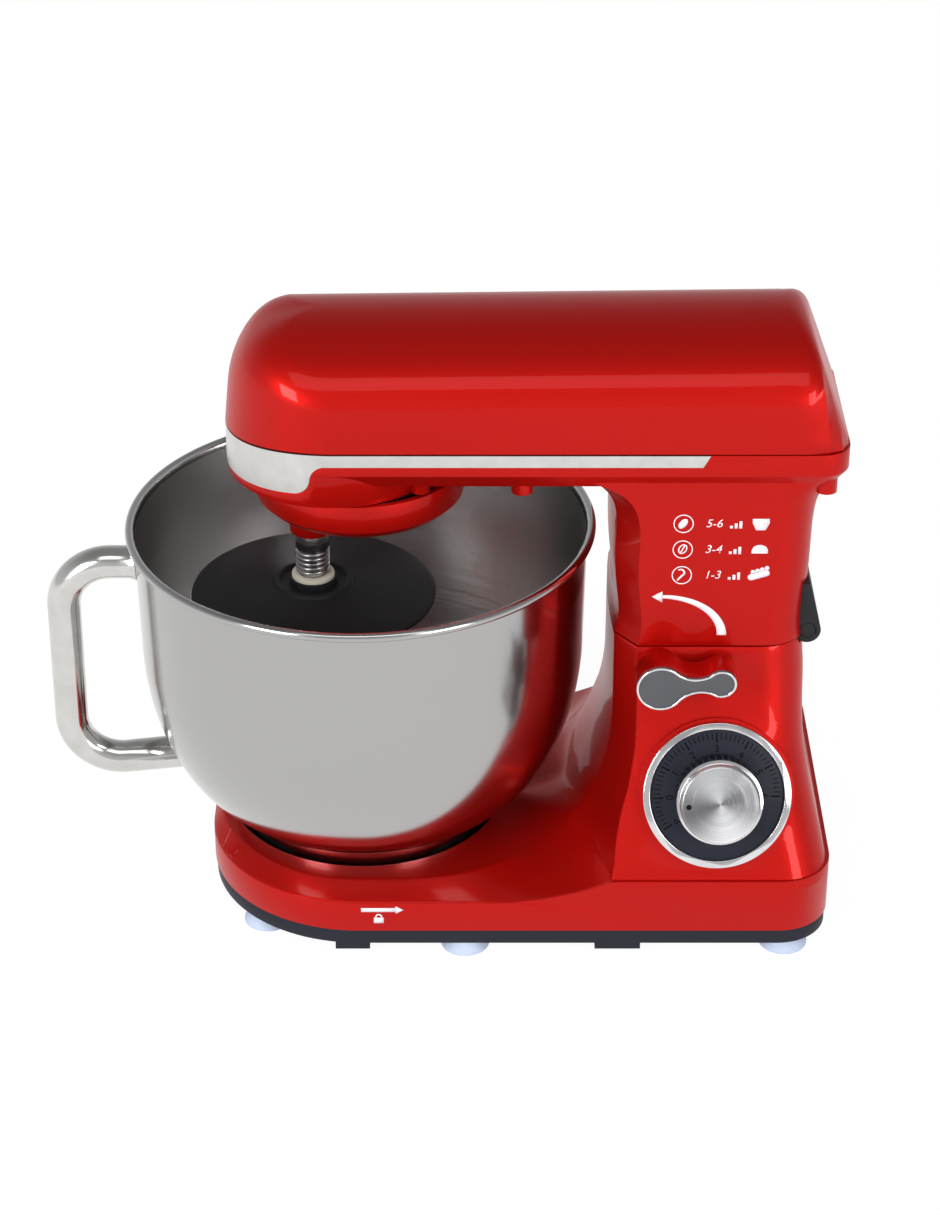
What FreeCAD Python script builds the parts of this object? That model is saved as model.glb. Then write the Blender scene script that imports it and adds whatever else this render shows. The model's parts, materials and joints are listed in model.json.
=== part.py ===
import FreeCAD, Part
import math
import os

# Tilt-head stand mixer with a twist-on steel bowl. Millimetres, +Z up.
# The model is drawn round the bowl's axis: nose and handle to -X, column to +X, dial side to -Y.
# Saving shifts it along X so that the origin is under the middle of the whole object.

V = FreeCAD.Vector
UP = V(0, 0, 1)

# Driving sizes
BOWL_RIM_R = 115.0
BOWL_RIM_Z = 197.0
HANDLE_FRONT = -157.0
HANDLE_R = 8.3
BASE_HALF_W = 93.0
BASE_FRONT = -77.0
BASE_REAR = 231.0
PLATE_Z = 8.0
SKIRT_Z = 16.0
EDGE_Z = 32.3
DECK_Z = 38.0
CREASE_Z = 45.0
SEAM_Z = 155.0
SEAM_GAP = 0.8
PARTING_Z = 257.0
HEAD_HALF_W = 52.0
HEAD_REAR = 231.5
NOSE_TIP_X = -63.5
NOSE_X = NOSE_TIP_X + HEAD_HALF_W
WALL = 3.0
ORBIT = 24.0
TILT_X = 216.5
TILT_Z = 157.0
DIAL_TILT = 21.0
MOTOR_X = 168.0
RUN = 0.05
MID_X = (HANDLE_FRONT + HEAD_REAR) / 2

# Base outline
FRONT_CORNER_R = 76.0
REAR_CORNER_R = 26.0
DECK_HALF_W = 80.4
DECK_INSET = 4.5
RECESS_R = 71.5
RECESS_Z = 28.0

# Ramp of the skirt beside the column
RAMP_X0 = 65.0
RAMP_X1 = 124.0

# Head
CROWN_TOP = 309.6
CROWN_SLOPE = 0.012
ARCH_R = 66.0
SHOULDER_R = 10.0
SHOULDER_Y = 41.2
NOSE_LENGTH = 43.5
NOSE_POWER = 2.3
REAR_LEAN = 0.37
REAR_ROUND = 12.0
NOSE_DIP = 5.0
UNDER_Z = 239.0
DRUM_Z = 229.5

# Gear train
PLANET_TEETH = 16
RING_TEETH = 48
PLANET_MODULE = ORBIT * 2 / (RING_TEETH - PLANET_TEETH)
PINION_TEETH = 12
MAIN_TEETH = 60
MAIN_MODULE = 1.25
COUNTER_X = MAIN_MODULE * (PINION_TEETH + MAIN_TEETH) / 2
PULLEY_R = 27.0
MOTOR_PULLEY_R = 5.25
BELT_Z = 262.0
BELT_W = 10.0
PULLEY_LIP = 2.0


# Helpers
def save(name, *shapes):
    solids = []
    for shape in shapes:
        solids.extend(shape.Solids)
    whole = solids[0] if len(solids) == 1 else Part.makeCompound(solids)
    whole = whole.copy()
    whole.translate(V(-MID_X, 0, 0))
    box = whole.optimalBoundingBox()
    spans = [f"{a:.1f} {b:.1f}" for a, b in ((box.XMin, box.XMax), (box.YMin, box.YMax), (box.ZMin, box.ZMax))]
    print(f"{name:20s} solids {len(solids)} valid {whole.isValid()} volume {whole.Volume:10.0f}", *spans)
    whole.exportStep(f"parts/{name}.step")


def line(a, b):
    return Part.LineSegment(a, b).toShape()


def arc(a, b, c):
    return Part.Arc(a, b, c).toShape()


def fuse(*shapes):
    return shapes[0].multiFuse(list(shapes[1:])).removeSplitter()


def cyl(r, z0, z1, x=0.0, y=0.0):
    return Part.makeCylinder(r, z1 - z0, V(x, y, z0))


def ring(r_out, r_in, z0, z1, x=0.0, y=0.0):
    return cyl(r_out, z0, z1, x, y).cut(cyl(r_in, z0 - 1, z1 + 1, x, y))


def box(x0, x1, y0, y1, z0, z1):
    return Part.makeBox(x1 - x0, y1 - y0, z1 - z0, V(x0, y0, z0))


def rod_y(r, y0, y1, x, z):
    return Part.makeCylinder(r, y1 - y0, V(x, y0, z), V(0, 1, 0))


def polygon(points):
    return Part.Face(Part.makePolygon(list(points) + [points[0]]))


def turned(profile, x=0.0, y=0.0):
    """A solid of revolution about the upright line at x, y from (radius, height) corners."""
    face = polygon([V(x + r, y, z) for r, z in profile])
    return face.revolve(V(x, y, 0), UP, 360)


def side_prism(points, y0, y1):
    """An XZ outline pushed through from y0 to y1."""
    face = polygon([V(x, y0, z) for x, z in points])
    return face.extrude(V(0, y1 - y0, 0))


def corner_arc(start, corner, end):
    """The arc that leaves start towards corner and arrives at end, both equally far from it."""
    a = (start - corner).normalize()
    b = (end - corner).normalize()
    half = math.acos(max(-1.0, min(1.0, a.dot(b)))) / 2
    r = (start - corner).Length * math.tan(half)
    middle = corner + (a + b).normalize() * (r / math.sin(half) - r)
    return arc(start, middle, end)


def rounded_path(points, radii):
    """Straight runs through the points, joined by tangent arcs of the given radii."""
    edges = []
    start = points[0]
    for before, corner, after, r in zip(points, points[1:], points[2:], radii):
        a = (before - corner).normalize()
        b = (after - corner).normalize()
        reach = r / math.tan(math.acos(a.dot(b)) / 2)
        edges.append(line(start, corner + a * reach))
        edges.append(corner_arc(corner + a * reach, corner, corner + b * reach))
        start = corner + b * reach
    edges.append(line(start, points[-1]))
    return Part.Wire(edges)


def tube(path, r):
    edge = path.OrderedEdges[0]
    start = edge.valueAt(edge.FirstParameter)
    section = Part.Wire(Part.makeCircle(r, start, edge.tangentAt(edge.FirstParameter)))
    return path.makePipeShell([section], True, False)


def screw(x, y, z_head, length, r=2.0, upward=True):
    """A pan-head screw whose head sits at z_head, pointing up or down."""
    sign = 1 if upward else -1
    head = Part.makeCylinder(r * 1.9, 2.2, V(x, y, z_head), UP * sign)
    shank = Part.makeCylinder(r, length, V(x, y, z_head + sign * 2.2), UP * sign)
    slot = box(x - r * 1.3, x + r * 1.3, y - 0.4, y + 0.4, z_head - 0.8, z_head + 0.8)
    return fuse(head, shank).cut(slot)


# Base and column
def base_outline(z, inset=0.0):
    """The base's plan: two large front corners, straight sides and small rear corners."""
    w = BASE_HALF_W - inset
    front = BASE_FRONT + inset
    rear = BASE_REAR - inset
    fr = FRONT_CORNER_R - inset
    rr = REAR_CORNER_R - inset
    k = math.sqrt(0.5)
    p = [V(front, -(w - fr), z), V(front, w - fr, z), V(front + fr, w, z), V(rear - rr, w, z),
         V(rear, w - rr, z), V(rear, -(w - rr), z), V(rear - rr, -w, z), V(front + fr, -w, z)]
    return Part.Wire([
        line(p[0], p[1]),
        arc(p[1], V(front + fr - fr * k, w - fr + fr * k, z), p[2]),
        line(p[2], p[3]),
        arc(p[3], V(rear - rr + rr * k, w - rr + rr * k, z), p[4]),
        line(p[4], p[5]),
        arc(p[5], V(rear - rr + rr * k, -(w - rr + rr * k), z), p[6]),
        line(p[6], p[7]),
        arc(p[7], V(front + fr - fr * k, -(w - fr + fr * k), z), p[0]),
    ])


def base_prism(z0, z1, inset=0.0):
    return Part.Face(base_outline(z0, inset)).extrude(V(0, 0, z1 - z0))


def deck_outline(z, front, half_w, corner_r, turn_x, end_x, end_y):
    """The front of the base in plan, with sides that run straight and then draw in to the column."""
    k = math.sqrt(0.5)
    centre_x = front + corner_r
    bulge = V((turn_x + end_x) / 2 + (half_w - end_y) * 0.22, 0, 0)
    edges = []
    flat = half_w - corner_r
    near = [V(front, -flat, z), V(centre_x, -half_w, z), V(turn_x, -half_w, z), V(end_x, -end_y, z)]
    far = [V(p.x, -p.y, z) for p in near]
    edges.append(line(near[0], far[0]))
    edges.append(arc(far[0], V(centre_x - corner_r * k, flat + corner_r * k, z), far[1]))
    edges.append(line(far[1], far[2]))
    edges.append(arc(far[2], V(bulge.x, half_w - (half_w - end_y) * 0.32, z), far[3]))
    edges.append(line(far[3], near[3]))
    edges.append(arc(near[3], V(bulge.x, -(half_w - (half_w - end_y) * 0.32), z), near[2]))
    edges.append(line(near[2], near[1]))
    edges.append(arc(near[1], V(centre_x - corner_r * k, -(flat + corner_r * k), z), near[0]))
    return Part.Wire(edges)


def column_section(z, front, edge_x, edge_y, corner_x, half_w, rear, rear_r, inset=0.0):
    """A level cut of the column: slightly bowed front, two wide chamfers, flat sides, rounded rear."""
    front = front + inset
    edge_x = edge_x + inset
    corner_x = corner_x + inset * 0.6
    half_w = half_w - inset
    edge_y = min(edge_y, half_w - 2)
    rear = rear - inset
    rear_r = rear_r - inset
    k = math.sqrt(0.5)
    p = [V(edge_x, -edge_y, z), V(edge_x, edge_y, z), V(corner_x, half_w, z), V(rear - rear_r, half_w, z),
         V(rear, half_w - rear_r, z)]
    q = [V(a.x, -a.y, z) for a in p]
    return Part.Wire([
        arc(p[0], V(front, 0, z), p[1]),
        line(p[1], p[2]),
        line(p[2], p[3]),
        arc(p[3], V(rear - rear_r + rear_r * k, half_w - rear_r + rear_r * k, z), p[4]),
        line(p[4], q[4]),
        arc(q[4], V(rear - rear_r + rear_r * k, -(half_w - rear_r + rear_r * k), z), q[3]),
        line(q[3], q[2]),
        line(q[2], q[1]),
    ])


# Each row: height, inner edge of the chamfer (x, y), outer corner x, half width, rear
COLUMN_ROWS = [
    (32.0, 66.0, 68.0, 84.0, 91.2, 230.0),
    (38.0, 82.8, 56.0, 106.7, 91.2, 229.5),
    (45.0, 98.0, 45.0, 123.0, 91.0, 229.0),
    (54.0, 106.5, 41.0, 124.0, 87.6, 227.0),
    (64.0, 112.6, 40.0, 124.8, 83.9, 224.6),
    (76.0, 117.8, 40.0, 127.0, 79.4, 221.8),
    (91.0, 121.6, 39.5, 131.0, 73.8, 218.6),
    (107.0, 123.2, 39.5, 133.6, 67.8, 216.4),
    (124.0, 123.4, 39.5, 134.4, 61.6, 216.0),
    (140.0, 123.4, 39.5, 134.4, 56.8, 215.8),
    (SEAM_Z - SEAM_GAP / 2, 123.4, 39.0, 134.0, 53.2, 215.6),
]


def column_solid(inset=0.0):
    """The column with its flared foot; an inset one, used to hollow it, starts above the flare."""
    rows = COLUMN_ROWS
    if inset:
        rows = [(DECK_Z,) + COLUMN_ROWS[2][1:]] + COLUMN_ROWS[2:]
    sections = []
    for z, edge_x, edge_y, corner_x, half_w, rear in rows:
        height = z - inset if z > 140 else z
        front = edge_x - 0.0012 * edge_y ** 2
        sections.append(column_section(height, front, edge_x, edge_y, corner_x, half_w, rear, 22.0, inset))
    return Part.makeLoft(sections, True, False)


def skirt_solid(inset=0.0):
    """The upright skirt, low at the front and ramped up to the crease beside the column."""
    low = EDGE_Z - inset * 0.6
    rise = CREASE_Z - inset - low
    steps = 8
    ramp = []
    for i in range(steps + 1):
        x = RAMP_X0 + (RAMP_X1 - RAMP_X0) * i / steps
        ramp.append(V(x, 0, low + rise * (i / steps) ** 2))
    curve = Part.BSplineCurve()
    curve.interpolate(ramp)
    above = CREASE_Z + 10
    front = BASE_FRONT - 10
    air = Part.Face(Part.Wire([
        line(V(front, 0, low), ramp[0]),
        curve.toShape(),
        line(ramp[-1], V(ramp[-1].x, 0, above)),
        line(V(ramp[-1].x, 0, above), V(front, 0, above)),
        line(V(front, 0, above), V(front, 0, low)),
    ]))
    air.translate(V(0, -BASE_HALF_W - 10, 0))
    foot = SKIRT_Z - 2 * inset
    return base_prism(foot, CREASE_Z - inset, inset).cut(air.extrude(V(0, 2 * BASE_HALF_W + 20, 0)))


def deck_solid(inset=0.0):
    """The sloping bevel that rings the bowl, and the flat deck inside it."""
    step = 0.15
    low = deck_outline(EDGE_Z - inset * 0.6 - step, BASE_FRONT + inset + step, BASE_HALF_W - inset - step,
                       FRONT_CORNER_R - inset, 30.0, 112.0, 86.0 - inset)
    high = deck_outline(DECK_Z - inset, BASE_FRONT + DECK_INSET + inset * 0.5, DECK_HALF_W - inset * 0.5,
                        FRONT_CORNER_R - DECK_INSET - inset * 0.5, 25.0, 97.0, 45.0)
    return Part.makeLoft([low, high], True, True)


def base_solid(inset=0.0):
    return fuse(skirt_solid(inset), deck_solid(inset), column_solid(inset))


# Dial: a round seat square to the column's sloping side
DIAL_X = 173.0
DIAL_CENTRE = V(DIAL_X, -82.0, 88.0)
DIAL_OUT = V(0, -math.cos(math.radians(DIAL_TILT)), math.sin(math.radians(DIAL_TILT)))
DIAL_R = 36.0
BEZEL_W = 3.6
KNOB_R = 20.7
CAP_R = 18.0
KNOB_TOP = 19.5
SWITCH_SHAFT_R = 3.0


def dial_cyl(r, a, b):
    """A cylinder on the dial's axis from a to b, measured outwards from the bezel's front."""
    return Part.makeCylinder(r, b - a, DIAL_CENTRE + DIAL_OUT * a, DIAL_OUT)


def dial_ring(r_out, r_in, a, b):
    return dial_cyl(r_out, a, b).cut(dial_cyl(r_in, a - 1, b + 1))


# Lever: two round lobes on a waist, turning about the larger lobe
LEVER_X = 144.2
LEVER_Z = 145.5
LEVER_TIP_X = 173.0
LEVER_TIP_Z = 148.0
LEVER_R = 11.6
LEVER_TIP_R = 7.2
LEVER_BACK_Y = -60.4
LEVER_FACE_Y = -77.0
LEVER_SHAFT_R = 4.0


def lever_outline(y, shrink=0.0):
    """Peanut outline: two lobes joined by hollow curves above and below."""
    big = V(LEVER_X, y, LEVER_Z)
    small = V(LEVER_TIP_X, y, LEVER_TIP_Z)
    along = (small - big).normalize()
    up = V(-along.z, 0, along.x)
    big_r = LEVER_R - shrink
    small_r = LEVER_TIP_R - shrink
    waist = 3.9 - shrink
    lean = math.radians(48)
    a = [big + (along * math.cos(lean) + up * s * math.sin(lean)) * big_r for s in (1, -1)]
    b = [small + (along * -math.cos(lean) + up * s * math.sin(lean)) * small_r for s in (1, -1)]
    middle = big + along * (big_r * 0.72 + ((small - big).Length - big_r * 0.72 - small_r * 0.66) * 0.6)
    return Part.Wire([
        arc(a[0], big - along * big_r, a[1]),
        arc(a[1], middle - up * waist, b[1]),
        arc(b[1], small + along * small_r, b[0]),
        arc(b[0], middle + up * waist, a[0]),
    ])


def lever_slab(y0, y1, shrink=0.0):
    return Part.Face(lever_outline(y0, shrink)).extrude(V(0, y1 - y0, 0))


# Hinge
BARREL_R = 6.6
PIN_R = 4.0
KNUCKLE_MID = 23.0
KNUCKLE_END = 42.0
KNUCKLE_GAP = 0.5
BARREL_ROOM = 0.7

# Fixings shared by neighbouring pieces
FOOT_R = 12.0
FOOT_SPOTS = [(-48.0, 60.0), (51.0, 80.5), (209.0, 79.0)]
PLATE_SCREW_SPOTS = [(-20.0, 78.0), (105.0, 85.8), (180.0, 85.8)]
SEAT_SCREW_R = 50.0
GEAR_POSTS = [(-28.0, 36.0), (30.0, 36.0), (69.0, 31.0)]
COVER_SCREWS = [(78.0, 43.0), (221.0, 42.0)]
MOTOR_POSTS = [(MOTOR_X - 24, 24.0), (MOTOR_X + 24, 24.0)]
BOARD_POSTS = [(146.5, 30.0), (214.0, 30.0)]
BOARD_Z = 34.0
GLAND_Z = 28.0
GLAND_Y = 40.0


def mirrored_spots(spots):
    return [(x, s * y) for x, y in spots for s in (1, -1)]


def build_base():
    shell = base_solid().cut(cyl(RECESS_R, RECESS_Z, DECK_Z + 20))
    keep = cyl(RECESS_R + WALL, RECESS_Z - WALL, DECK_Z + 20)
    hollow = base_solid(WALL).cut(keep)
    below = base_prism(SKIRT_Z - 5, SKIRT_Z + 1, WALL)
    shell = shell.cut(hollow).cut(below)
    shell = shell.fuse(dial_cyl(DIAL_R + 1.6, -12.0, -4.0).cut(base_solid(WALL)))
    shell = shell.fuse(rod_y(9.0, LEVER_BACK_Y + 0.6, -45.0, LEVER_X, LEVER_Z).cut(column_solid(WALL)))
    for x, y in mirrored_spots(PLATE_SCREW_SPOTS):
        post = cyl(5.0, SKIRT_Z, DECK_Z - WALL + 0.5, x, y)
        shell = shell.fuse(post.common(base_prism(SKIRT_Z, CREASE_Z, 1.0)).common(base_solid(0.8)))
    tunnels = [dial_cyl(5.05, -40.0, 5.0)]
    tunnels.append(rod_y(6.5, -90.0, -30.0, LEVER_X, LEVER_Z))
    tunnels.append(rod_y(BARREL_R + BARREL_ROOM, -KNUCKLE_END - 1, KNUCKLE_END + 1, TILT_X, TILT_Z))
    leaf_y = KNUCKLE_MID + 0.6
    tunnels.append(box(TILT_X - 14.0, TILT_X + 1.0, -leaf_y, leaf_y, TILT_Z - 8.0, TILT_Z + 3.0))
    tunnels.append(box(136.0, 164.0, -34.0, -16.0, 148.0, 160.0))
    tunnels.append(Part.makeCylinder(6.5, 30, V(BASE_REAR - 20, GLAND_Y, GLAND_Z), V(1, 0, 0)))
    for x, y in mirrored_spots(PLATE_SCREW_SPOTS):
        tunnels.append(cyl(1.6, SKIRT_Z - 1, SKIRT_Z + 8.5, x, y))
    for i in range(3):
        a = math.radians(120 * i + 60)
        tunnels.append(cyl(1.6, 20, 32, SEAT_SCREW_R * math.cos(a), SEAT_SCREW_R * math.sin(a)))
    for tunnel in tunnels:
        shell = shell.cut(tunnel)
    save("base_shell", shell)


def build_bottom_plate():
    tray = base_prism(PLATE_Z, SKIRT_Z, 0.8)
    tray = tray.cut(base_prism(PLATE_Z + 3.0, SKIRT_Z + 1, 4.0))
    for x0, x1 in ((-13.0, 4.0), (115.0, 137.5)):
        for y0, y1 in ((-91.0, -84.0), (84.0, 91.0)):
            tray = tray.fuse(box(x0, x1, y0, y1, 3.6, PLATE_Z + 1))
    for x, y in mirrored_spots(PLATE_SCREW_SPOTS):
        tray = tray.fuse(cyl(6.0, PLATE_Z, SKIRT_Z, x, y))
        tray = tray.cut(cyl(2.1, PLATE_Z - 1, SKIRT_Z + 1, x, y))
        tray = tray.cut(cyl(4.2, PLATE_Z - 1, PLATE_Z + 3.0, x, y))
    for x, y in mirrored_spots(FOOT_SPOTS):
        tray = tray.cut(cyl(3.0, PLATE_Z - 1, PLATE_Z + 4, x, y))
    for i in range(7):
        x = 150.0 + 9.0 * i
        tray = tray.cut(box(x, x + 3.5, -30, 30, PLATE_Z - 1, PLATE_Z + 4))
    for x, y in mirrored_spots(BOARD_POSTS):
        tray = tray.fuse(cyl(3.5, PLATE_Z + 2, BOARD_Z, x, y))
    save("bottom_plate", tray)
    foot_profile = [(0, 3.4), (6.5, 3.4), (9.2, 1.2), (10.2, 0), (FOOT_R, 0), (FOOT_R, 1.2), (10.0, 4.6),
                    (9.2, PLATE_Z), (2.95, PLATE_Z), (2.95, PLATE_Z + 3.2), (0, PLATE_Z + 3.2)]
    feet = [turned(foot_profile, x, y) for x, y in mirrored_spots(FOOT_SPOTS)]
    caps = [turned([(0, PLATE_Z + 3.2), (5.4, PLATE_Z + 3.2), (4.2, PLATE_Z + 5.2), (0, PLATE_Z + 5.2)], x, y)
            for x, y in mirrored_spots(FOOT_SPOTS)]
    save("suction_feet", *[fuse(f, c) for f, c in zip(feet, caps)])
    screws = [screw(x, y, PLATE_Z + 0.8, 12.0, 1.6) for x, y in mirrored_spots(PLATE_SCREW_SPOTS)]
    save("plate_screws", *screws)


# Bowl lock: lugs on the bowl's foot turn under lugs on the seat
LUGS = 4
LUG_SPAN = 24.0
FOOT_RING_R = 66.0
SEAT_TOP = 36.0
SEAT_FLOOR = 30.0
SEAT_WALL = 2.2
LUG_Z = 34.4
LUG_START = 33.0


def sector(r_out, r_in, z0, z1, start, span):
    a = math.radians(start)
    out = V(math.cos(a), math.sin(a), 0)
    face = polygon([out * r_in + UP * z0, out * r_out + UP * z0, out * r_out + UP * z1, out * r_in + UP * z1])
    return face.revolve(V(0, 0, 0), UP, span)


def build_bowl_seat():
    outer = RECESS_R - 0.2
    inner = RECESS_R - SEAT_WALL
    seat = turned([(0, RECESS_Z), (outer, RECESS_Z), (outer, SEAT_TOP), (inner, SEAT_TOP),
                   (inner, SEAT_FLOOR), (0, SEAT_FLOOR)])
    for i in range(LUGS):
        start = 360 / LUGS * i + LUG_START
        seat = seat.fuse(sector(RECESS_R - 1.0, FOOT_RING_R + 1.2, LUG_Z, SEAT_TOP, start, LUG_SPAN))
    spots = []
    for i in range(3):
        a = math.radians(120 * i + 60)
        spots.append((SEAT_SCREW_R * math.cos(a), SEAT_SCREW_R * math.sin(a)))
    for x, y in spots:
        seat = seat.cut(cyl(2.1, RECESS_Z - 1, SEAT_FLOOR + 1, x, y))
    save("bowl_seat", seat)
    save("seat_screws", *[screw(x, y, SEAT_FLOOR + 2.2, 6.5, 1.6, False) for x, y in spots])


# Bowl profile: drawn wall, elliptical lower part, flat bottom
BOWL_T = 0.9
BOWL_WALL_R = 111.0
BOWL_TURN_R = 109.7
BOWL_TURN_Z = 134.5
BOWL_FLAT_R = 55.0
BOWL_FLAT_Z = 43.5
BEAD_R = 2.2
FOOT_RING_W = 3.5
HANDLE_TOP_Z = 172.0
HANDLE_LOW_Z = 55.5
HANDLE_END_X = -74.0
HANDLE_END_Z = 63.8
HANDLE_BEND = 24.5


def quarter_ellipse(r_turn, z_turn, r_flat, z_flat):
    centre = V(r_flat, 0, z_turn)
    a = r_turn - r_flat
    b = z_turn - z_flat
    if b > a:
        ellipse = Part.Ellipse(V(r_flat, 0, z_flat), V(r_turn, 0, z_turn), centre)
    else:
        ellipse = Part.Ellipse(V(r_turn, 0, z_turn), V(r_flat, 0, z_flat), centre)
    first = ellipse.parameter(V(r_turn, 0, z_turn))
    last = ellipse.parameter(V(r_flat, 0, z_flat))
    if last < first:
        first, last = last, first
    if last - first > math.pi:
        first, last = last - 2 * math.pi, first
    return ellipse.toShape(first, last)


def build_bowl():
    bead_x = BOWL_RIM_R - BEAD_R
    bead_z = BOWL_RIM_Z - BEAD_R
    inner_r = BOWL_WALL_R - BOWL_T
    foot_z = bead_z - BEAD_R
    outer = [
        arc(V(inner_r, 0, bead_z), V((inner_r + bead_x) / 2 - 0.2, 0, BOWL_RIM_Z - 0.5),
            V(bead_x, 0, BOWL_RIM_Z)),
        arc(V(bead_x, 0, BOWL_RIM_Z), V(BOWL_RIM_R, 0, bead_z), V(bead_x, 0, foot_z)),
        line(V(bead_x, 0, foot_z), V(BOWL_WALL_R, 0, foot_z)),
        line(V(BOWL_WALL_R, 0, foot_z), V(BOWL_TURN_R, 0, BOWL_TURN_Z)),
        quarter_ellipse(BOWL_TURN_R, BOWL_TURN_Z, BOWL_FLAT_R, BOWL_FLAT_Z),
        line(V(BOWL_FLAT_R, 0, BOWL_FLAT_Z), V(0, 0, BOWL_FLAT_Z)),
        line(V(0, 0, BOWL_FLAT_Z), V(0, 0, BOWL_FLAT_Z + BOWL_T)),
        line(V(0, 0, BOWL_FLAT_Z + BOWL_T), V(BOWL_FLAT_R, 0, BOWL_FLAT_Z + BOWL_T)),
        quarter_ellipse(BOWL_TURN_R - BOWL_T, BOWL_TURN_Z, BOWL_FLAT_R, BOWL_FLAT_Z + BOWL_T),
        line(V(BOWL_TURN_R - BOWL_T, 0, BOWL_TURN_Z), V(inner_r, 0, bead_z)),
    ]
    profile = Part.Face(Part.Wire(Part.__sortEdges__(outer)))
    shell = profile.revolve(V(0, 0, 0), UP, 360)
    save("bowl_shell", shell)

    lower = Part.Wire(Part.__sortEdges__([
        quarter_ellipse(BOWL_TURN_R, BOWL_TURN_Z, BOWL_FLAT_R, BOWL_FLAT_Z),
        line(V(BOWL_FLAT_R, 0, BOWL_FLAT_Z), V(0, 0, BOWL_FLAT_Z)),
        line(V(0, 0, BOWL_FLAT_Z), V(0, 0, BOWL_RIM_Z - 10)),
        line(V(0, 0, BOWL_RIM_Z - 10), V(BOWL_WALL_R, 0, BOWL_RIM_Z - 10)),
        line(V(BOWL_WALL_R, 0, BOWL_RIM_Z - 10), V(BOWL_TURN_R, 0, BOWL_TURN_Z)),
    ]))
    body = Part.Face(lower).revolve(V(0, 0, 0), UP, 360)
    low = SEAT_FLOOR + 0.3
    high = BOWL_FLAT_Z + 4.0
    inner = FOOT_RING_R - FOOT_RING_W
    foot = turned([(inner, low), (FOOT_RING_R, low), (FOOT_RING_R, DECK_Z), (FOOT_RING_R + 1.0, high),
                   (inner, high)])
    lug_r = RECESS_R - SEAT_WALL - 0.6
    for i in range(LUGS):
        start = 360 / LUGS * i + LUG_START
        foot = foot.fuse(sector(lug_r, FOOT_RING_R - 1, low + 0.5, LUG_Z - 0.6, start, LUG_SPAN))
    save("bowl_foot_ring", foot.cut(body))

    bar_x = HANDLE_FRONT + HANDLE_R
    top = V(bar_x + 0.5, 0, HANDLE_TOP_Z)
    bottom = V(bar_x, 0, HANDLE_LOW_Z)
    path = rounded_path([V(-BOWL_WALL_R + 7, 0, HANDLE_TOP_Z), top, bottom, V(HANDLE_END_X, 0, HANDLE_END_Z)],
                        [HANDLE_BEND, HANDLE_BEND])
    flange = Part.makeCone(HANDLE_R, HANDLE_R + 1.8, 6.0, V(-BOWL_WALL_R - 3.4, 0, HANDLE_TOP_Z), V(1, 0, 0))
    save("bowl_handle", tube(path, HANDLE_R).fuse(flange).cut(body))


# Head outline and form
def head_outline(z, half_w, tip_x, rear, rear_r=14.0, slope=0.0):
    """Plan of the head: half-round nose, straight sides, rounded rear corners, on a slightly rising plane."""
    rear_r = min(rear_r, half_w * 0.6)
    nose = tip_x + half_w
    k = math.sqrt(0.5)

    def at(x, y):
        return V(x, y, z + slope * (x - NOSE_TIP_X))

    def turn(s):
        return at(rear - rear_r + rear_r * k, s * (half_w - rear_r + rear_r * k))

    return Part.Wire([
        arc(at(nose, -half_w), at(tip_x, 0), at(nose, half_w)),
        line(at(nose, half_w), at(rear - rear_r, half_w)),
        arc(at(rear - rear_r, half_w), turn(1), at(rear, half_w - rear_r)),
        line(at(rear, half_w - rear_r), at(rear, rear_r - half_w)),
        arc(at(rear, rear_r - half_w), turn(-1), at(rear - rear_r, -half_w)),
        line(at(rear - rear_r, -half_w), at(nose, -half_w)),
    ])


def plain_outline(z, inset=0.0):
    return head_outline(z, HEAD_HALF_W - inset, NOSE_TIP_X + inset, HEAD_REAR - inset)


def crown_profile(inset):
    """Rows of (outer height, height, half width): upright side, shoulder round, then a shallow arch."""
    arch_z = CROWN_TOP - ARCH_R
    reach = ARCH_R - SHOULDER_R
    shoulder_z = arch_z + math.sqrt(reach ** 2 - SHOULDER_Y ** 2)
    meet = math.asin(SHOULDER_Y / reach)
    rows = [(z, z, HEAD_HALF_W - inset) for z in (UNDER_Z, PARTING_Z)]
    for i in range(5):
        a = (math.pi / 2 - meet) * i / 4
        r = SHOULDER_R - inset
        outer = shoulder_z + SHOULDER_R * math.sin(a)
        rows.append((outer, shoulder_z + r * math.sin(a), SHOULDER_Y + r * math.cos(a)))
    for i in range(1, 10):
        a = meet * (1 - i / 10.5)
        r = ARCH_R - inset
        rows.append((arch_z + ARCH_R * math.cos(a), arch_z + r * math.cos(a), r * math.sin(a)))
    return rows


def nose_tip(z):
    """How far the nose reaches at height z: a full, flattened curve up to the crown."""
    rise = max(0.0, (z - PARTING_Z) / (CROWN_TOP - PARTING_Z))
    return NOSE_TIP_X + NOSE_LENGTH * (1 - (1 - rise ** NOSE_POWER) ** (1 / NOSE_POWER))


def rear_end(z):
    """The rear leans forwards and rounds over at the top."""
    over = max(0.0, (z - CROWN_TOP + REAR_ROUND) / REAR_ROUND)
    return HEAD_REAR - REAR_LEAN * (z - PARTING_Z) - REAR_ROUND * (1 - math.sqrt(1 - over * over))


def crown_solid(inset=0.0):
    """The head above its parting line, from level cuts that close over the top."""
    cuts = []
    for outer, z, half_w in crown_profile(inset):
        tip = nose_tip(outer) + inset
        rear = rear_end(outer) - inset
        cuts.append(head_outline(z, half_w, tip, rear, 14.0, CROWN_SLOPE))
    return Part.makeLoft(cuts, True, True)


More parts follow.
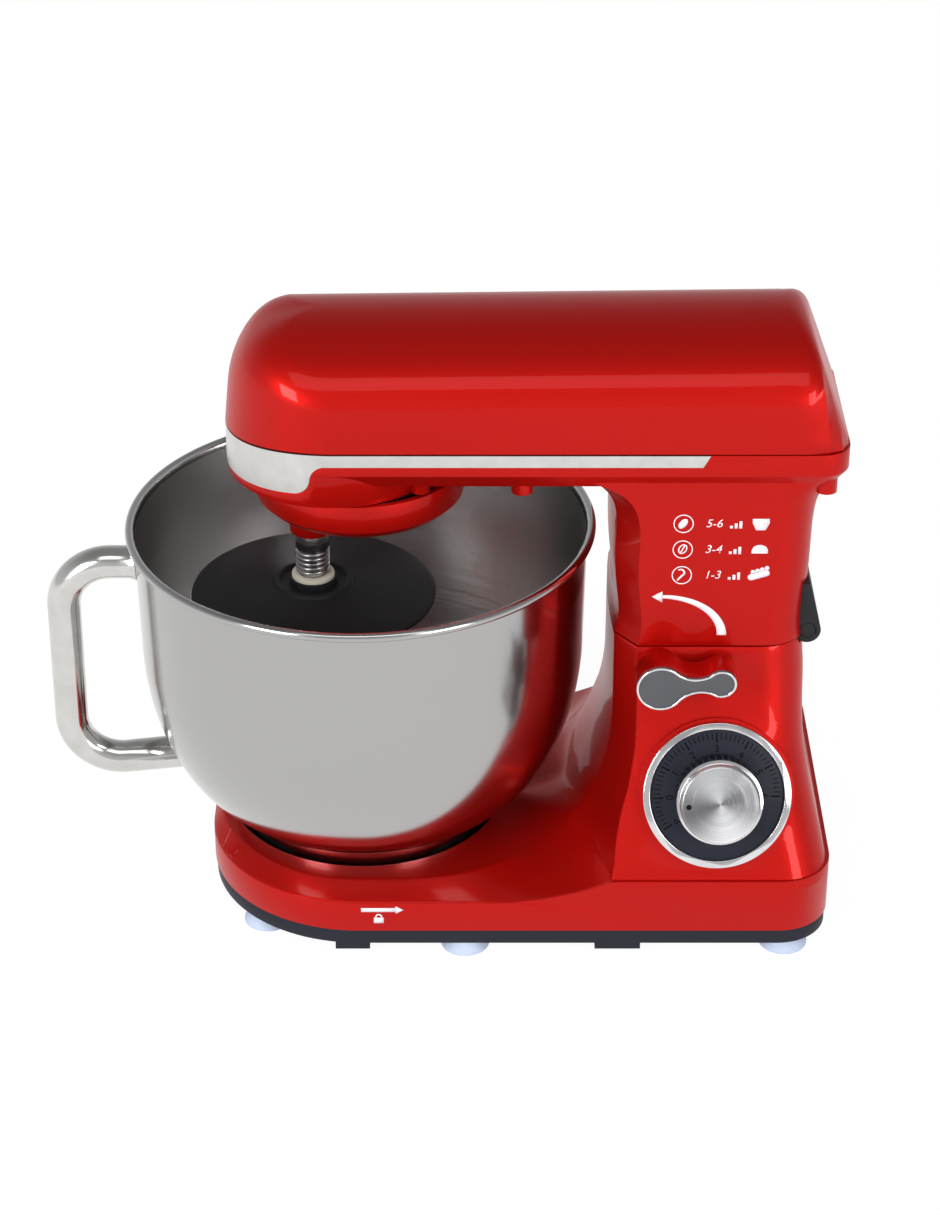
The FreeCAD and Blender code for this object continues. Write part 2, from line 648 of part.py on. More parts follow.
# Neck rows: height, chamfer edge x, chamfer edge y, corner x, half width, rear
NECK_ROWS = [
    (SEAM_Z + SEAM_GAP / 2, 123.4, 39.0, 134.0, 53.0, 215.5),
    (185.0, 123.4, 38.5, 134.0, 51.4, 216.0),
    (212.0, 123.2, 38.0, 134.0, 50.0, 217.0),
    (222.0, 122.4, 38.0, 133.0, 49.6, 218.0),
    (230.0, 119.0, 38.0, 129.4, 49.4, 220.4),
    (236.0, 112.0, 38.0, 122.6, 49.4, 224.6),
    (242.0, 98.0, 38.0, 109.0, 49.4, 228.6),
]


def neck_solid(inset=0.0):
    sections = []
    for z, edge_x, edge_y, corner_x, half_w, rear in NECK_ROWS:
        height = z + inset if z < SEAM_Z + 1 else z
        front = edge_x - 0.0012 * edge_y ** 2
        sections.append(column_section(height, front, edge_x, edge_y, corner_x, half_w, rear, 20.0, inset))
    return Part.makeLoft(sections, True, False)


def under_solid(inset=0.0):
    """The lower half of the head without its neck: walls, tucked-in underside and the nose drum."""
    top = PARTING_Z + inset
    walls = Part.makeLoft([plain_outline(UNDER_Z + inset, inset + 4.0), plain_outline(UNDER_Z + 7.0, inset),
                           plain_outline(top, inset)], True, True)
    drum = cyl(HEAD_HALF_W - inset - 0.1, DRUM_Z + inset, UNDER_Z + 12, NOSE_X)
    return walls.fuse(drum)


def split_air():
    """Everything above the parting line, which dips towards the nose tip."""
    side = HEAD_HALF_W + 40
    above = CROWN_TOP + 30
    turn = NOSE_X - 6
    front = NOSE_TIP_X - 10
    rear = HEAD_REAR + 20
    start = V(turn, -side, PARTING_Z)
    tip = V(NOSE_TIP_X, -side, PARTING_Z - NOSE_DIP)
    middle = V((turn + NOSE_TIP_X) / 2, -side, PARTING_Z - NOSE_DIP * 0.28)
    outer = V(front, -side, tip.z - 2)
    face = Part.Face(Part.Wire([
        line(V(rear, -side, PARTING_Z), start),
        arc(start, middle, tip),
        line(tip, outer),
        line(outer, V(front, -side, above)),
        line(V(front, -side, above), V(rear, -side, above)),
        line(V(rear, -side, above), V(rear, -side, PARTING_Z)),
    ]))
    return face.extrude(V(0, 2 * side, 0))


# Trim band
BAND_Z = 251.0
BAND_END_X = 164.0
BAND_NOSE_Z = 236.0
BAND_STEP_X = -20.0
BAND_PROUD = 0.4
BAND_T = 1.4


def band_region():
    """Side view of the trim band: a narrow strip that steps down to a wide wrap round the nose."""
    y = -HEAD_HALF_W - 40
    front = NOSE_TIP_X - 10
    top = PARTING_Z + 3
    low = V(BAND_STEP_X - 9, y, BAND_NOSE_Z)
    knee = V(BAND_STEP_X - 1.6, y, BAND_NOSE_Z + 7.5)
    high = V(BAND_STEP_X + 5, y, BAND_Z)
    face = Part.Face(Part.Wire([
        line(V(front, y, BAND_NOSE_Z - 4), low),
        arc(low, V(BAND_STEP_X - 3.6, y, BAND_NOSE_Z + 3), knee),
        arc(knee, V(BAND_STEP_X + 0.6, y, BAND_Z - 2.2), high),
        line(high, V(BAND_END_X - 2, y, BAND_Z)),
        line(V(BAND_END_X - 2, y, BAND_Z), V(BAND_END_X + 3, y, top)),
        line(V(BAND_END_X + 3, y, top), V(front, y, top)),
        line(V(front, y, top), V(front, y, BAND_NOSE_Z - 4)),
    ]))
    return face.extrude(V(0, -2 * y, 0)).cut(split_air())


# Fixings inside the head
BOSS_R = 4.5
BOSS_DROP = 5.0
THREAD_R = 1.7
HEAD_HOLE_R = 4.2
SHANK_HOLE_R = 2.1
POST_THREAD_R = 1.5
DRUM_POST_Z = 246.0
MAIN_BUSH_R = 10.0
COUNTER_BUSH_R = 6.5
PLATE_T = 3.0
MOTOR_FLOOR_Z = 166.0


def build_head():
    crown = crown_solid().common(split_air())
    cover = crown.cut(crown_solid(WALL))
    bosses = []
    for x, y in mirrored_spots(COVER_SCREWS):
        bosses.append(cyl(BOSS_R, PARTING_Z, CROWN_TOP - 18, x, y).common(crown_solid(0.8)))
    cover = fuse(cover, *bosses)
    for x, y in mirrored_spots(COVER_SCREWS):
        cover = cover.cut(cyl(THREAD_R, PARTING_Z - 1, PARTING_Z + 14, x, y))
    save("head_top_cover", cover)

    low = DRUM_Z - 10
    grown = Part.Face(plain_outline(low, -BAND_PROUD)).extrude(V(0, 0, 60))
    core = Part.Face(plain_outline(low - 1, BAND_T - BAND_PROUD)).extrude(V(0, 0, 62))
    band = grown.cut(core).common(band_region())
    save("trim_band", band)

    lower = fuse(under_solid(), neck_solid()).cut(split_air())
    room = fuse(under_solid(WALL), neck_solid(WALL))
    lower = lower.cut(room).cut(band)
    posts = [cyl(MAIN_BUSH_R + 4, DRUM_Z + 1, DRUM_POST_Z),
             cyl(COUNTER_BUSH_R + 2, DRUM_Z + 1, DRUM_POST_Z, COUNTER_X)]
    for x, y in mirrored_spots(GEAR_POSTS):
        floor = DRUM_Z if x < COUNTER_X else UNDER_Z
        posts.append(cyl(BOSS_R, floor + 1, PARTING_Z, x, y))
    for x, y in mirrored_spots(COVER_SCREWS):
        posts.append(cyl(BOSS_R + 0.7, UNDER_Z - BOSS_DROP, PARTING_Z - 0.2, x, y))
    for x, y in mirrored_spots(MOTOR_POSTS):
        posts.append(cyl(BOSS_R, SEAM_Z + 2, MOTOR_FLOOR_Z, x, y))
    lower = fuse(lower, *posts)
    holes = [cyl(MAIN_BUSH_R, DRUM_Z - 1, DRUM_POST_Z + 1),
             cyl(COUNTER_BUSH_R, DRUM_Z + WALL, DRUM_POST_Z + 1, COUNTER_X)]
    for x, y in mirrored_spots(COVER_SCREWS):
        holes.append(cyl(SHANK_HOLE_R, DRUM_Z - 10, PARTING_Z + 1, x, y))
        holes.append(cyl(HEAD_HOLE_R, DRUM_Z - 10, UNDER_Z + 4, x, y))
    for x, y in mirrored_spots(GEAR_POSTS):
        holes.append(cyl(POST_THREAD_R, PARTING_Z - 9, PARTING_Z + 1, x, y))
    for x, y in mirrored_spots(MOTOR_POSTS):
        holes.append(cyl(POST_THREAD_R, SEAM_Z + WALL + 0.5, MOTOR_FLOOR_Z + 1, x, y))
    middle = KNUCKLE_MID + KNUCKLE_GAP
    holes.append(rod_y(BARREL_R + BARREL_ROOM, -middle, middle, TILT_X, TILT_Z))
    holes.append(rod_y(BARREL_R, -KNUCKLE_END, KNUCKLE_END, TILT_X, TILT_Z))
    for hole in holes:
        lower = lower.cut(hole)
    lower = lower.cut(hinge_cover_solid())
    save("head_lower_housing", lower)
    screws = [screw(x, y, UNDER_Z + 1.7, 24.0, THREAD_R) for x, y in mirrored_spots(COVER_SCREWS)]
    plate_top = PARTING_Z + PLATE_T
    screws += [screw(x, y, plate_top + 2.2, 9.0, POST_THREAD_R, False) for x, y in mirrored_spots(GEAR_POSTS)]
    foot_top = MOTOR_FLOOR_Z + BRACKET_T
    screws += [screw(x, y, foot_top + 2.2, 7.0, POST_THREAD_R, False) for x, y in mirrored_spots(MOTOR_POSTS)]
    save("head_screws", *screws)


COVER_RISE = 26.0
COVER_DEPTH = 6.4


def hinge_cover_solid():
    """Two outer hinge knuckles on a tapering back plate that lies on the neck."""
    inner = TILT_X - COVER_DEPTH
    plate = side_prism([(inner, TILT_Z + 1.0), (TILT_X + BARREL_R - 0.1, TILT_Z + 1.0),
                        (TILT_X + 3.6, TILT_Z + COVER_RISE * 0.5), (TILT_X + 0.2, TILT_Z + COVER_RISE),
                        (inner, TILT_Z + COVER_RISE)], -KNUCKLE_END, KNUCKLE_END)
    barrel = rod_y(BARREL_R, -KNUCKLE_END, KNUCKLE_END, TILT_X, TILT_Z)
    middle = KNUCKLE_MID + KNUCKLE_GAP
    room = rod_y(BARREL_R + BARREL_ROOM, -middle, middle, TILT_X, TILT_Z)
    return fuse(plate, barrel).cut(room)


LEAF_DEPTH = 11.0
LEAF_DROP = 41.0
PAD_R = 4.0
PAD_X = 140.0


def build_hinge():
    through = KNUCKLE_END + 20
    cover = hinge_cover_solid().cut(rod_y(PIN_R + RUN, -through, through, TILT_X, TILT_Z))
    save("hinge_cover", cover)
    knuckle = rod_y(BARREL_R, -KNUCKLE_MID, KNUCKLE_MID, TILT_X, TILT_Z)
    inner = TILT_X - LEAF_DEPTH
    leaf_top = TILT_Z - 6.2
    leaf = box(inner, TILT_X + 3, -KNUCKLE_MID, KNUCKLE_MID, TILT_Z - LEAF_DROP, leaf_top)
    leaf = leaf.common(column_solid(WALL))
    neck = box(inner, TILT_X, -KNUCKLE_MID, KNUCKLE_MID, leaf_top, TILT_Z - 3.0)
    bracket = fuse(knuckle, leaf, neck).cut(rod_y(PIN_R, -through, through, TILT_X, TILT_Z))
    save("hinge_bracket", bracket)
    pin_end = KNUCKLE_END - 0.3
    save("hinge_pin", rod_y(PIN_R, -pin_end, pin_end, TILT_X, TILT_Z))
    pads = [cyl(PAD_R, SEAM_Z - SEAM_GAP / 2, SEAM_Z + 0.3, PAD_X, y) for y in (-8.0, 30.0)]
    save("rest_pads", *pads)


# Gears
PRESSURE = math.radians(20)
BACKLASH = 0.14


def involute(angle):
    return math.tan(angle) - angle


def gear_face(teeth, module, tip, root, half_play, z, turn=0.0):
    """Outline of a spur gear whose first tooth points along +X, as a face at height z."""
    pitch = teeth * module / 2
    base = pitch * math.cos(PRESSURE)
    radii = [root, (root + pitch) / 2, pitch, (pitch + tip) / 2, tip]
    half = []
    for r in radii:
        lean = math.acos(min(1.0, base / r)) if r > base else 0.0
        half.append(math.pi / (2 * teeth) + involute(PRESSURE) - involute(lean) + half_play / pitch)
    points = []
    for i in range(teeth):
        middle = turn + 2 * math.pi * i / teeth
        for r, a in zip(radii, half):
            points.append(V(r * math.cos(middle - a), r * math.sin(middle - a), z))
        for r, a in reversed(list(zip(radii, half))):
            points.append(V(r * math.cos(middle + a), r * math.sin(middle + a), z))
    return polygon(points)


def spur_gear(teeth, module, z0, z1, bore, x=0.0, turn=0.0):
    pitch = teeth * module / 2
    face = gear_face(teeth, module, pitch + 0.8 * module, pitch - 1.1 * module, -BACKLASH, z0, turn)
    gear = face.extrude(V(0, 0, z1 - z0)).cut(cyl(bore, z0 - 1, z1 + 1))
    gear.translate(V(x, 0, 0))
    return gear


# Gearbox
GEAR_Z = 247.0
GEAR_W = 8.0
PLANET_Z = 219.6
PLANET_W = 8.4
RING_WALL = 6.5
CUP_R = 50.5
CUP_Z = 211.0
CUP_TOP = 228.9
CUP_WALL = 3.0
CUP_FLOOR = 3.5
CUP_EDGE = 4.0
MAIN_R = 6.0
COUNTER_R = 4.0
SPINDLE_R = 6.5
SPINDLE_END = 150.0
SPINDLE_BUSH_R = 9.0
HUB_R = 11.0
HUB_Z = 190.0
RIB_END_X = 16.0
RIB_HALF_W = 6.5
PIN_Z = 156.0
CROSS_PIN_R = 2.0
CROSS_PIN_HALF = 9.0
PLATE_HALF_W = 41.0
PLATE_FRONT_R = 43.5
PLATE_FRONT = -34.0
PLATE_REAR = 74.0
MOTOR_BUSH_R = 8.0
MOTOR_BUSH_L = 10.0
MOTOR_BUSH_LOW = 162.0
MOTOR_BUSH_HIGH = 236.0


def build_gearbox():
    pitch = RING_TEETH * PLANET_MODULE / 2
    space = gear_face(RING_TEETH, PLANET_MODULE, pitch + 1.2 * PLANET_MODULE, pitch - 0.7 * PLANET_MODULE,
                      BACKLASH, PLANET_Z - 1.5)
    outer = cyl(pitch + RING_WALL, PLANET_Z, DRUM_Z)
    save("ring_gear", outer.cut(space.extrude(V(0, 0, 20))))
    plate_top = PARTING_Z + PLATE_T
    slab = box(PLATE_FRONT, PLATE_REAR, -PLATE_HALF_W, PLATE_HALF_W, PARTING_Z, plate_top)
    tail = box(0, PLATE_REAR, -PLATE_HALF_W, PLATE_HALF_W, PARTING_Z, plate_top)
    plate = slab.common(cyl(PLATE_FRONT_R, PARTING_Z, plate_top).fuse(tail))
    for x, r in ((0.0, SPINDLE_BUSH_R), (COUNTER_X, COUNTER_BUSH_R)):
        plate = plate.cut(cyl(r, PARTING_Z - 1, plate_top + 1, x))
    for x, y in mirrored_spots(GEAR_POSTS):
        plate = plate.cut(cyl(POST_THREAD_R + 0.3, PARTING_Z - 1, plate_top + 1, x, y))
    save("gear_plate", plate)
    bushes = [ring(MAIN_BUSH_R, MAIN_R + RUN, DRUM_Z + 0.5, DRUM_POST_Z),
              ring(SPINDLE_BUSH_R, MAIN_R + RUN, PARTING_Z, plate_top),
              ring(COUNTER_BUSH_R, COUNTER_R + RUN, DRUM_Z + 4, DRUM_POST_Z, COUNTER_X),
              ring(COUNTER_BUSH_R, COUNTER_R + RUN, PARTING_Z, plate_top, COUNTER_X)]
    for z in (MOTOR_BUSH_LOW, MOTOR_BUSH_HIGH):
        bushes.append(ring(MOTOR_BUSH_R, MOTOR_SHAFT_R + RUN, z, z + MOTOR_BUSH_L, MOTOR_X))
    save("bearing_bushes", *bushes)

    save("main_shaft", cyl(MAIN_R, CUP_Z + 1.0, plate_top + 1.5))
    save("main_gear", spur_gear(MAIN_TEETH, MAIN_MODULE, GEAR_Z, GEAR_Z + GEAR_W, MAIN_R))
    save("planetary_cup", cup_solid())
    save("spindle_bush", ring(SPINDLE_BUSH_R, SPINDLE_R + RUN, HUB_Z + 0.4, PLANET_Z - 0.8, -ORBIT))

    planet_top = PLANET_Z + PLANET_W
    save("planet_pinion", spur_gear(PLANET_TEETH, PLANET_MODULE, PLANET_Z, planet_top, SPINDLE_R, -ORBIT))
    spindle = cyl(SPINDLE_R, SPINDLE_END, planet_top + 0.8, -ORBIT)
    spindle = fuse(spindle, cyl(SPINDLE_R + 1.9, SPRING_Z1 + 0.4, HUB_Z - 0.4, -ORBIT))
    spindle = spindle.cut(rod_y(CROSS_PIN_R, -HUB_R, HUB_R, -ORBIT, PIN_Z))
    save("tool_spindle", spindle)
    save("cross_pin", rod_y(CROSS_PIN_R, -CROSS_PIN_HALF, CROSS_PIN_HALF, -ORBIT, PIN_Z))

    belt_top = BELT_Z + BELT_W
    save("counter_shaft", cyl(COUNTER_R, DRUM_Z + WALL + 0.6, belt_top + 1, COUNTER_X))
    turn = math.pi / PINION_TEETH
    pinion = spur_gear(PINION_TEETH, MAIN_MODULE, GEAR_Z, GEAR_Z + GEAR_W, COUNTER_R, COUNTER_X, turn)
    save("counter_pinion", pinion)
    lip = PULLEY_R + PULLEY_LIP
    web = BELT_Z + 3
    pulley = turned([(COUNTER_R, BELT_Z - 1), (lip, BELT_Z - 1), (lip, BELT_Z), (PULLEY_R, BELT_Z),
                     (PULLEY_R, belt_top), (PULLEY_R - 4, belt_top), (PULLEY_R - 5, web),
                     (COUNTER_R + 5, web), (COUNTER_R + 4, belt_top), (COUNTER_R, belt_top)], COUNTER_X)
    save("belt_pulley", pulley)


def cup_solid():
    """The planet carrier: a shallow cup with an offset boss for the spindle and a rib to its middle."""
    wall = CUP_R - CUP_WALL
    floor = CUP_Z + CUP_FLOOR
    top = PLANET_Z - 0.6
    hub = MAIN_R + CUP_FLOOR
    cup = turned([(0, CUP_Z), (CUP_R - CUP_EDGE, CUP_Z), (CUP_R, CUP_Z + CUP_EDGE), (CUP_R, CUP_TOP),
                  (wall, CUP_TOP), (wall, floor + 1.5), (wall - 2, floor), (hub, floor), (hub, top), (0, top)])
    collar = HUB_R + 1.5
    boss = turned([(0, HUB_Z), (HUB_R - 1, HUB_Z), (HUB_R, HUB_Z + 1), (collar, CUP_Z + 2), (collar, top - 0.2),
                   (0, top - 0.2)], -ORBIT)
    rib = side_prism([(-ORBIT, CUP_Z - 15), (RIB_END_X, CUP_Z - 5), (RIB_END_X, CUP_Z + 2), (-ORBIT, CUP_Z + 2)],
                     -RIB_HALF_W, RIB_HALF_W)
    slope = side_prism([(0, CUP_Z - 9), (30, CUP_Z - 1), (30, CUP_Z + 3), (0, CUP_Z + 3)], -20, 20)
    rib_end = cyl(RIB_HALF_W + 0.5, CUP_Z - 9, CUP_Z + 2, RIB_END_X).common(slope)
    cup = fuse(cup, boss, rib, rib_end).cut(cyl(MAIN_R, CUP_Z + 1, CUP_Z + 40))
    return cup.cut(cyl(SPINDLE_BUSH_R, HUB_Z - 1, CUP_Z + 30, -ORBIT))


def belt_loop(grow):
    """The line of the belt round both pulleys, as a face."""
    r1 = PULLEY_R + grow
    r2 = MOTOR_PULLEY_R + grow
    span = MOTOR_X - COUNTER_X
    lean = math.acos((r1 - r2) / span)
    z = BELT_Z + 0.6
    c, s = math.cos(lean), math.sin(lean)
    p = [V(COUNTER_X + r1 * c, r1 * s, z), V(MOTOR_X + r2 * c, r2 * s, z)]
    q = [V(a.x, -a.y, z) for a in p]
    return Part.Face(Part.Wire([
        line(p[0], p[1]),
        arc(p[1], V(MOTOR_X + r2, 0, z), q[1]),
        line(q[1], q[0]),
        arc(q[0], V(COUNTER_X - r1, 0, z), p[0]),
    ]))


# Motor
MOTOR_SHAFT_R = 3.0
STATOR_R = 32.0
STATOR_Z0 = 190.0
STATOR_Z1 = 222.0
CORE_R = 19.0
CORE_SLOTS = 12
CORE_SLOT_R = 2.2
COIL_OUT = 27.0
COIL_IN = 22.0
COIL_OVER = 6.0
COIL_EDGE_Y = 14.0
BRACKET_T = 4.0
BRACKET_HUB_R = 11.0
BRACKET_POST_R = 3.0
BRACKET_POST_X = 28.5
HIGH_BRACKET_Z = 238.0
BRUSH_HALF_W = 3.5
BRUSH_Z0 = 170.0
BRUSH_Z1 = 183.0
BRUSH_IN = 11.6
BRUSH_OUT = 26.0
COMMUTATOR_R = 11.0
COMMUTATOR_Z0 = 174.0
COMMUTATOR_Z1 = 186.0
FAN_Z = 229.0
FAN_H = 6.0
FAN_R = 20.0
FAN_HUB_R = 7.0
FAN_BLADES = 9


def build_motor():
    save("drive_belt", belt_loop(2.4).cut(belt_loop(0.3)).extrude(V(0, 0, BELT_W - 1.4)))
    stator = ring(STATOR_R, CORE_R + 1.0, STATOR_Z0, STATOR_Z1, MOTOR_X)
    low, high = STATOR_Z0 - COIL_OVER, STATOR_Z1 + COIL_OVER
    for y0, y1 in ((-STATOR_R, -COIL_EDGE_Y), (COIL_EDGE_Y, STATOR_R)):
        side = box(MOTOR_X - STATOR_R, MOTOR_X + STATOR_R, y0, y1, low, high)
        stator = stator.fuse(ring(COIL_OUT, COIL_IN, low, high, MOTOR_X).common(side))
    save("motor_stator", stator)

    brackets = []
    for flange, bush, post0, post1 in ((MOTOR_FLOOR_Z, MOTOR_BUSH_LOW, MOTOR_FLOOR_Z + 2, STATOR_Z0),
                                       (HIGH_BRACKET_Z, MOTOR_BUSH_HIGH, STATOR_Z1, HIGH_BRACKET_Z + 2)):
        bracket = fuse(ring(STATOR_R, MOTOR_BUSH_R, flange, flange + BRACKET_T, MOTOR_X),
                       ring(BRACKET_HUB_R, MOTOR_BUSH_R, bush, bush + MOTOR_BUSH_L, MOTOR_X))
        for s in (-1, 1):
            bracket = fuse(bracket, cyl(BRACKET_POST_R, post0, post1, MOTOR_X + s * BRACKET_POST_X))
        brackets.append(bracket)
    for x, y in mirrored_spots(MOTOR_POSTS):
        brackets[0] = fuse(brackets[0], cyl(BOSS_R + 0.5, MOTOR_FLOOR_Z, MOTOR_FLOOR_Z + BRACKET_T, x, y))
    for x, y in mirrored_spots(MOTOR_POSTS):
        brackets[0] = brackets[0].cut(cyl(THREAD_R, MOTOR_FLOOR_Z - 1, MOTOR_FLOOR_Z + BRACKET_T + 1, x, y))
    save("motor_brackets", *brackets)
    brushes = []
    for y0, y1 in ((-BRUSH_OUT, -BRUSH_IN), (BRUSH_IN, BRUSH_OUT)):
        brushes.append(box(MOTOR_X - BRUSH_HALF_W, MOTOR_X + BRUSH_HALF_W, y0, y1, BRUSH_Z0, BRUSH_Z1))
    save("carbon_brushes", *brushes)

    belt_top = BELT_Z + BELT_W
    save("motor_shaft", cyl(MOTOR_SHAFT_R, MOTOR_BUSH_LOW - 2, belt_top + 1, MOTOR_X))
    save("commutator", ring(COMMUTATOR_R, MOTOR_SHAFT_R, COMMUTATOR_Z0, COMMUTATOR_Z1, MOTOR_X))
    core = ring(CORE_R, MOTOR_SHAFT_R, STATOR_Z0, STATOR_Z1, MOTOR_X)
    reach = CORE_R - 1.2
    for i in range(CORE_SLOTS):
        a = 2 * math.pi * i / CORE_SLOTS
        slot_x = MOTOR_X + reach * math.cos(a)
        core = core.cut(cyl(CORE_SLOT_R, STATOR_Z0 - 1, STATOR_Z1 + 1, slot_x, reach * math.sin(a)))
    save("rotor_core", core)
    fan = fuse(ring(FAN_HUB_R, MOTOR_SHAFT_R, FAN_Z, FAN_Z + FAN_H, MOTOR_X),
               ring(FAN_R, FAN_HUB_R - 1, FAN_Z, FAN_Z + 1.5, MOTOR_X))
    for i in range(FAN_BLADES):
        blade = box(MOTOR_X + FAN_HUB_R - 1, MOTOR_X + FAN_R, -0.8, 0.8, FAN_Z + 1, FAN_Z + FAN_H)
        blade.rotate(V(MOTOR_X, 0, 0), UP, 360 / FAN_BLADES * i)
        fan = fan.fuse(blade)
    save("cooling_fan", fan.removeSplitter())
    lip = MOTOR_PULLEY_R + PULLEY_LIP
    small = turned([(MOTOR_SHAFT_R, BELT_Z - 1), (lip, BELT_Z - 1), (lip, BELT_Z), (MOTOR_PULLEY_R, BELT_Z),
                    (MOTOR_PULLEY_R, belt_top), (MOTOR_SHAFT_R, belt_top)], MOTOR_X)
    save("motor_pulley", small)


# Tool spring
WIRE_R = 0.8
COIL_R = 7.7
SPRING_Z0 = 166.6
SPRING_Z1 = 181.0
SPRING_TURNS = 5


def spring_point(turns):
    z0 = SPRING_Z0 + WIRE_R + 0.1
    z1 = SPRING_Z1 - WIRE_R - 0.1
    a = 2 * math.pi * turns
    rise = z0 + (z1 - z0) * turns / SPRING_TURNS
    slope = (z1 - z0) / (SPRING_TURNS * 2 * math.pi)
    place = V(-ORBIT + COIL_R * math.cos(a), COIL_R * math.sin(a), rise)
    heading = V(-COIL_R * math.sin(a), COIL_R * math.cos(a), slope).normalize()
    return place, heading


def biarc(p0, t0, p1, t1):
    """Two arcs that join p0 to p1 smoothly along the given headings."""
    gap = p1 - p0
    both = t0 + t1
    flat = 2 * (1 - t0.dot(t1))
    d = (-gap.dot(both) + math.sqrt(gap.dot(both) ** 2 + flat * gap.dot(gap))) / flat
    a = p0 + t0 * d
    b = p1 - t1 * d
    middle = (a + b) * 0.5
    return [corner_arc(p0, a, middle), corner_arc(middle, b, p1)]


def build_spring():
    quarters = SPRING_TURNS * 4
    stations = [spring_point(i / 4) for i in range(quarters + 1)]
    first, last = stations[0], stations[-1]
    lead = 2 * WIRE_R
    edges = [line(first[0] - first[1] * lead, first[0])]
    for (p0, t0), (p1, t1) in zip(stations, stations[1:]):
        edges.extend(biarc(p0, t0, p1, t1))
    edges.append(line(last[0], last[0] + last[1] * lead))
    spring = tube(Part.Wire(edges), WIRE_R)
    samples = [spring_point(i / 36)[0] for i in range(SPRING_TURNS * 36 + 1)]
    least = min((a - b).Length for i, a in enumerate(samples) for b in samples[i + 18:])
    print("spring least gap to itself", round(least - 2 * WIRE_R, 3))
    save("tool_spring", spring)


# Tool
SHIELD_R = 60.5
SHIELD_Z = 153.6
COLLAR_R = 9.3
COLLAR_Z0 = 134.0
COLLAR_TOP = 164.4
COLLAR_HOLLOW_Z = 144.6
SLOT_HALF = 2.3
SLOT_Z0 = 149.0
SLOT_Z1 = 158.2
HOOK_R = 6.0


def build_tool():
    rim = SHIELD_R - 2
    bore = COLLAR_R + 0.1
    shield = turned([(bore, SHIELD_Z + 3.8), (rim, SHIELD_Z), (SHIELD_R, SHIELD_Z + 1),
                     (SHIELD_R, SHIELD_Z + 2.6), (rim, SHIELD_Z + 3), (20.0, SHIELD_Z + 7.8),
                     (19.2, SHIELD_Z + 9.4), (17.0, SHIELD_Z + 9.4), (16.0, SHIELD_Z + 7.6),
                     (bore, SHIELD_Z + 7.6)], -ORBIT)
    save("dough_shield", shield)
    collar = ring(COLLAR_R, SPINDLE_R + RUN, COLLAR_HOLLOW_Z - 1, COLLAR_TOP, -ORBIT)
    lip = ring(COLLAR_R + 2.2, COLLAR_R - 0.3, SHIELD_Z + 7.7, COLLAR_TOP, -ORBIT)
    collar = fuse(collar, lip, cyl(COLLAR_R, COLLAR_Z0, COLLAR_HOLLOW_Z, -ORBIT))
    for y0, y1 in ((-12, -5), (5, 12)):
        collar = collar.cut(box(-ORBIT - SLOT_HALF, -ORBIT + SLOT_HALF, y0, y1, SLOT_Z0, SLOT_Z1))
    save("hook_collar", collar)
    save("spring_washer", ring(COLLAR_R + 1.2, SPINDLE_R + 0.3, COLLAR_TOP, SPRING_Z0, -ORBIT))
    x = -ORBIT
    path = rounded_path([V(x, 0, COLLAR_Z0 + 4), V(x, 0, 122), V(x + 26, -8, 108), V(x + 32, 4, 76),
                         V(x + 2, 10, 60), V(x - 24, -4, 67), V(x - 30, -12, 86)], [12.0, 20.0, 20.0, 18.0, 12.0])
    hook = tube(path, HOOK_R)
    end = path.OrderedEdges[-1].valueAt(path.OrderedEdges[-1].LastParameter)
    hook = hook.fuse(Part.makeSphere(HOOK_R, end))
    save("dough_hook", hook.cut(cyl(COLLAR_R, COLLAR_Z0, COLLAR_TOP, -ORBIT)))


FACE_BACK = -4.0
FACE_FRONT = -1.6
SWITCH_R = 16.0
SWITCH_BACK = -32.0
SWITCH_FRONT = -17.0
SWITCH_NECK_R = 5.0
NUT_R = 8.0
KNOB_BODY_TOP = 15.0
KNOB_HOLLOW_R = 10.0
FLUTES = 40
FLUTE_R = 1.1
CAP_CHAMFER = 1.4
SHAFT_TOP = 12.0


def build_dial():
    save("dial_bezel", dial_ring(DIAL_R, DIAL_R - BEZEL_W, FACE_BACK, 0.0))
    save("dial_face", dial_ring(DIAL_R - BEZEL_W, SWITCH_NECK_R, FACE_BACK, FACE_FRONT))
    bore = SWITCH_SHAFT_R + RUN
    save("speed_switch", fuse(dial_ring(SWITCH_R, bore, SWITCH_BACK, SWITCH_FRONT),
                              dial_ring(SWITCH_NECK_R, bore, SWITCH_FRONT, 1.0)))
    save("switch_nut", dial_ring(NUT_R, SWITCH_NECK_R, FACE_FRONT, 0.6))
    body = dial_cyl(KNOB_R, -1.0, KNOB_BODY_TOP)
    upward = V(0, DIAL_OUT.z, -DIAL_OUT.y)
    for i in range(FLUTES):
        a = 2 * math.pi * i / FLUTES
        across = V(1, 0, 0) * math.cos(a) + upward * math.sin(a)
        spot = DIAL_CENTRE + DIAL_OUT * -2 + across * (KNOB_R + 0.35)
        body = body.cut(Part.makeCylinder(FLUTE_R, KNOB_BODY_TOP - 1, spot, DIAL_OUT))
    body = body.cut(dial_cyl(KNOB_HOLLOW_R, -2.0, 4.0)).cut(dial_cyl(SWITCH_SHAFT_R, 3.0, SHAFT_TOP))
    save("knob_body", body)
    edge = KNOB_TOP - CAP_CHAMFER
    cap = Part.makeCone(CAP_R + CAP_CHAMFER, CAP_R, CAP_CHAMFER, DIAL_CENTRE + DIAL_OUT * edge, DIAL_OUT)
    save("knob_cap", fuse(cap, dial_cyl(CAP_R + CAP_CHAMFER, KNOB_BODY_TOP, edge)))
    save("knob_shaft", dial_cyl(SWITCH_SHAFT_R, SWITCH_BACK + 2, SHAFT_TOP))


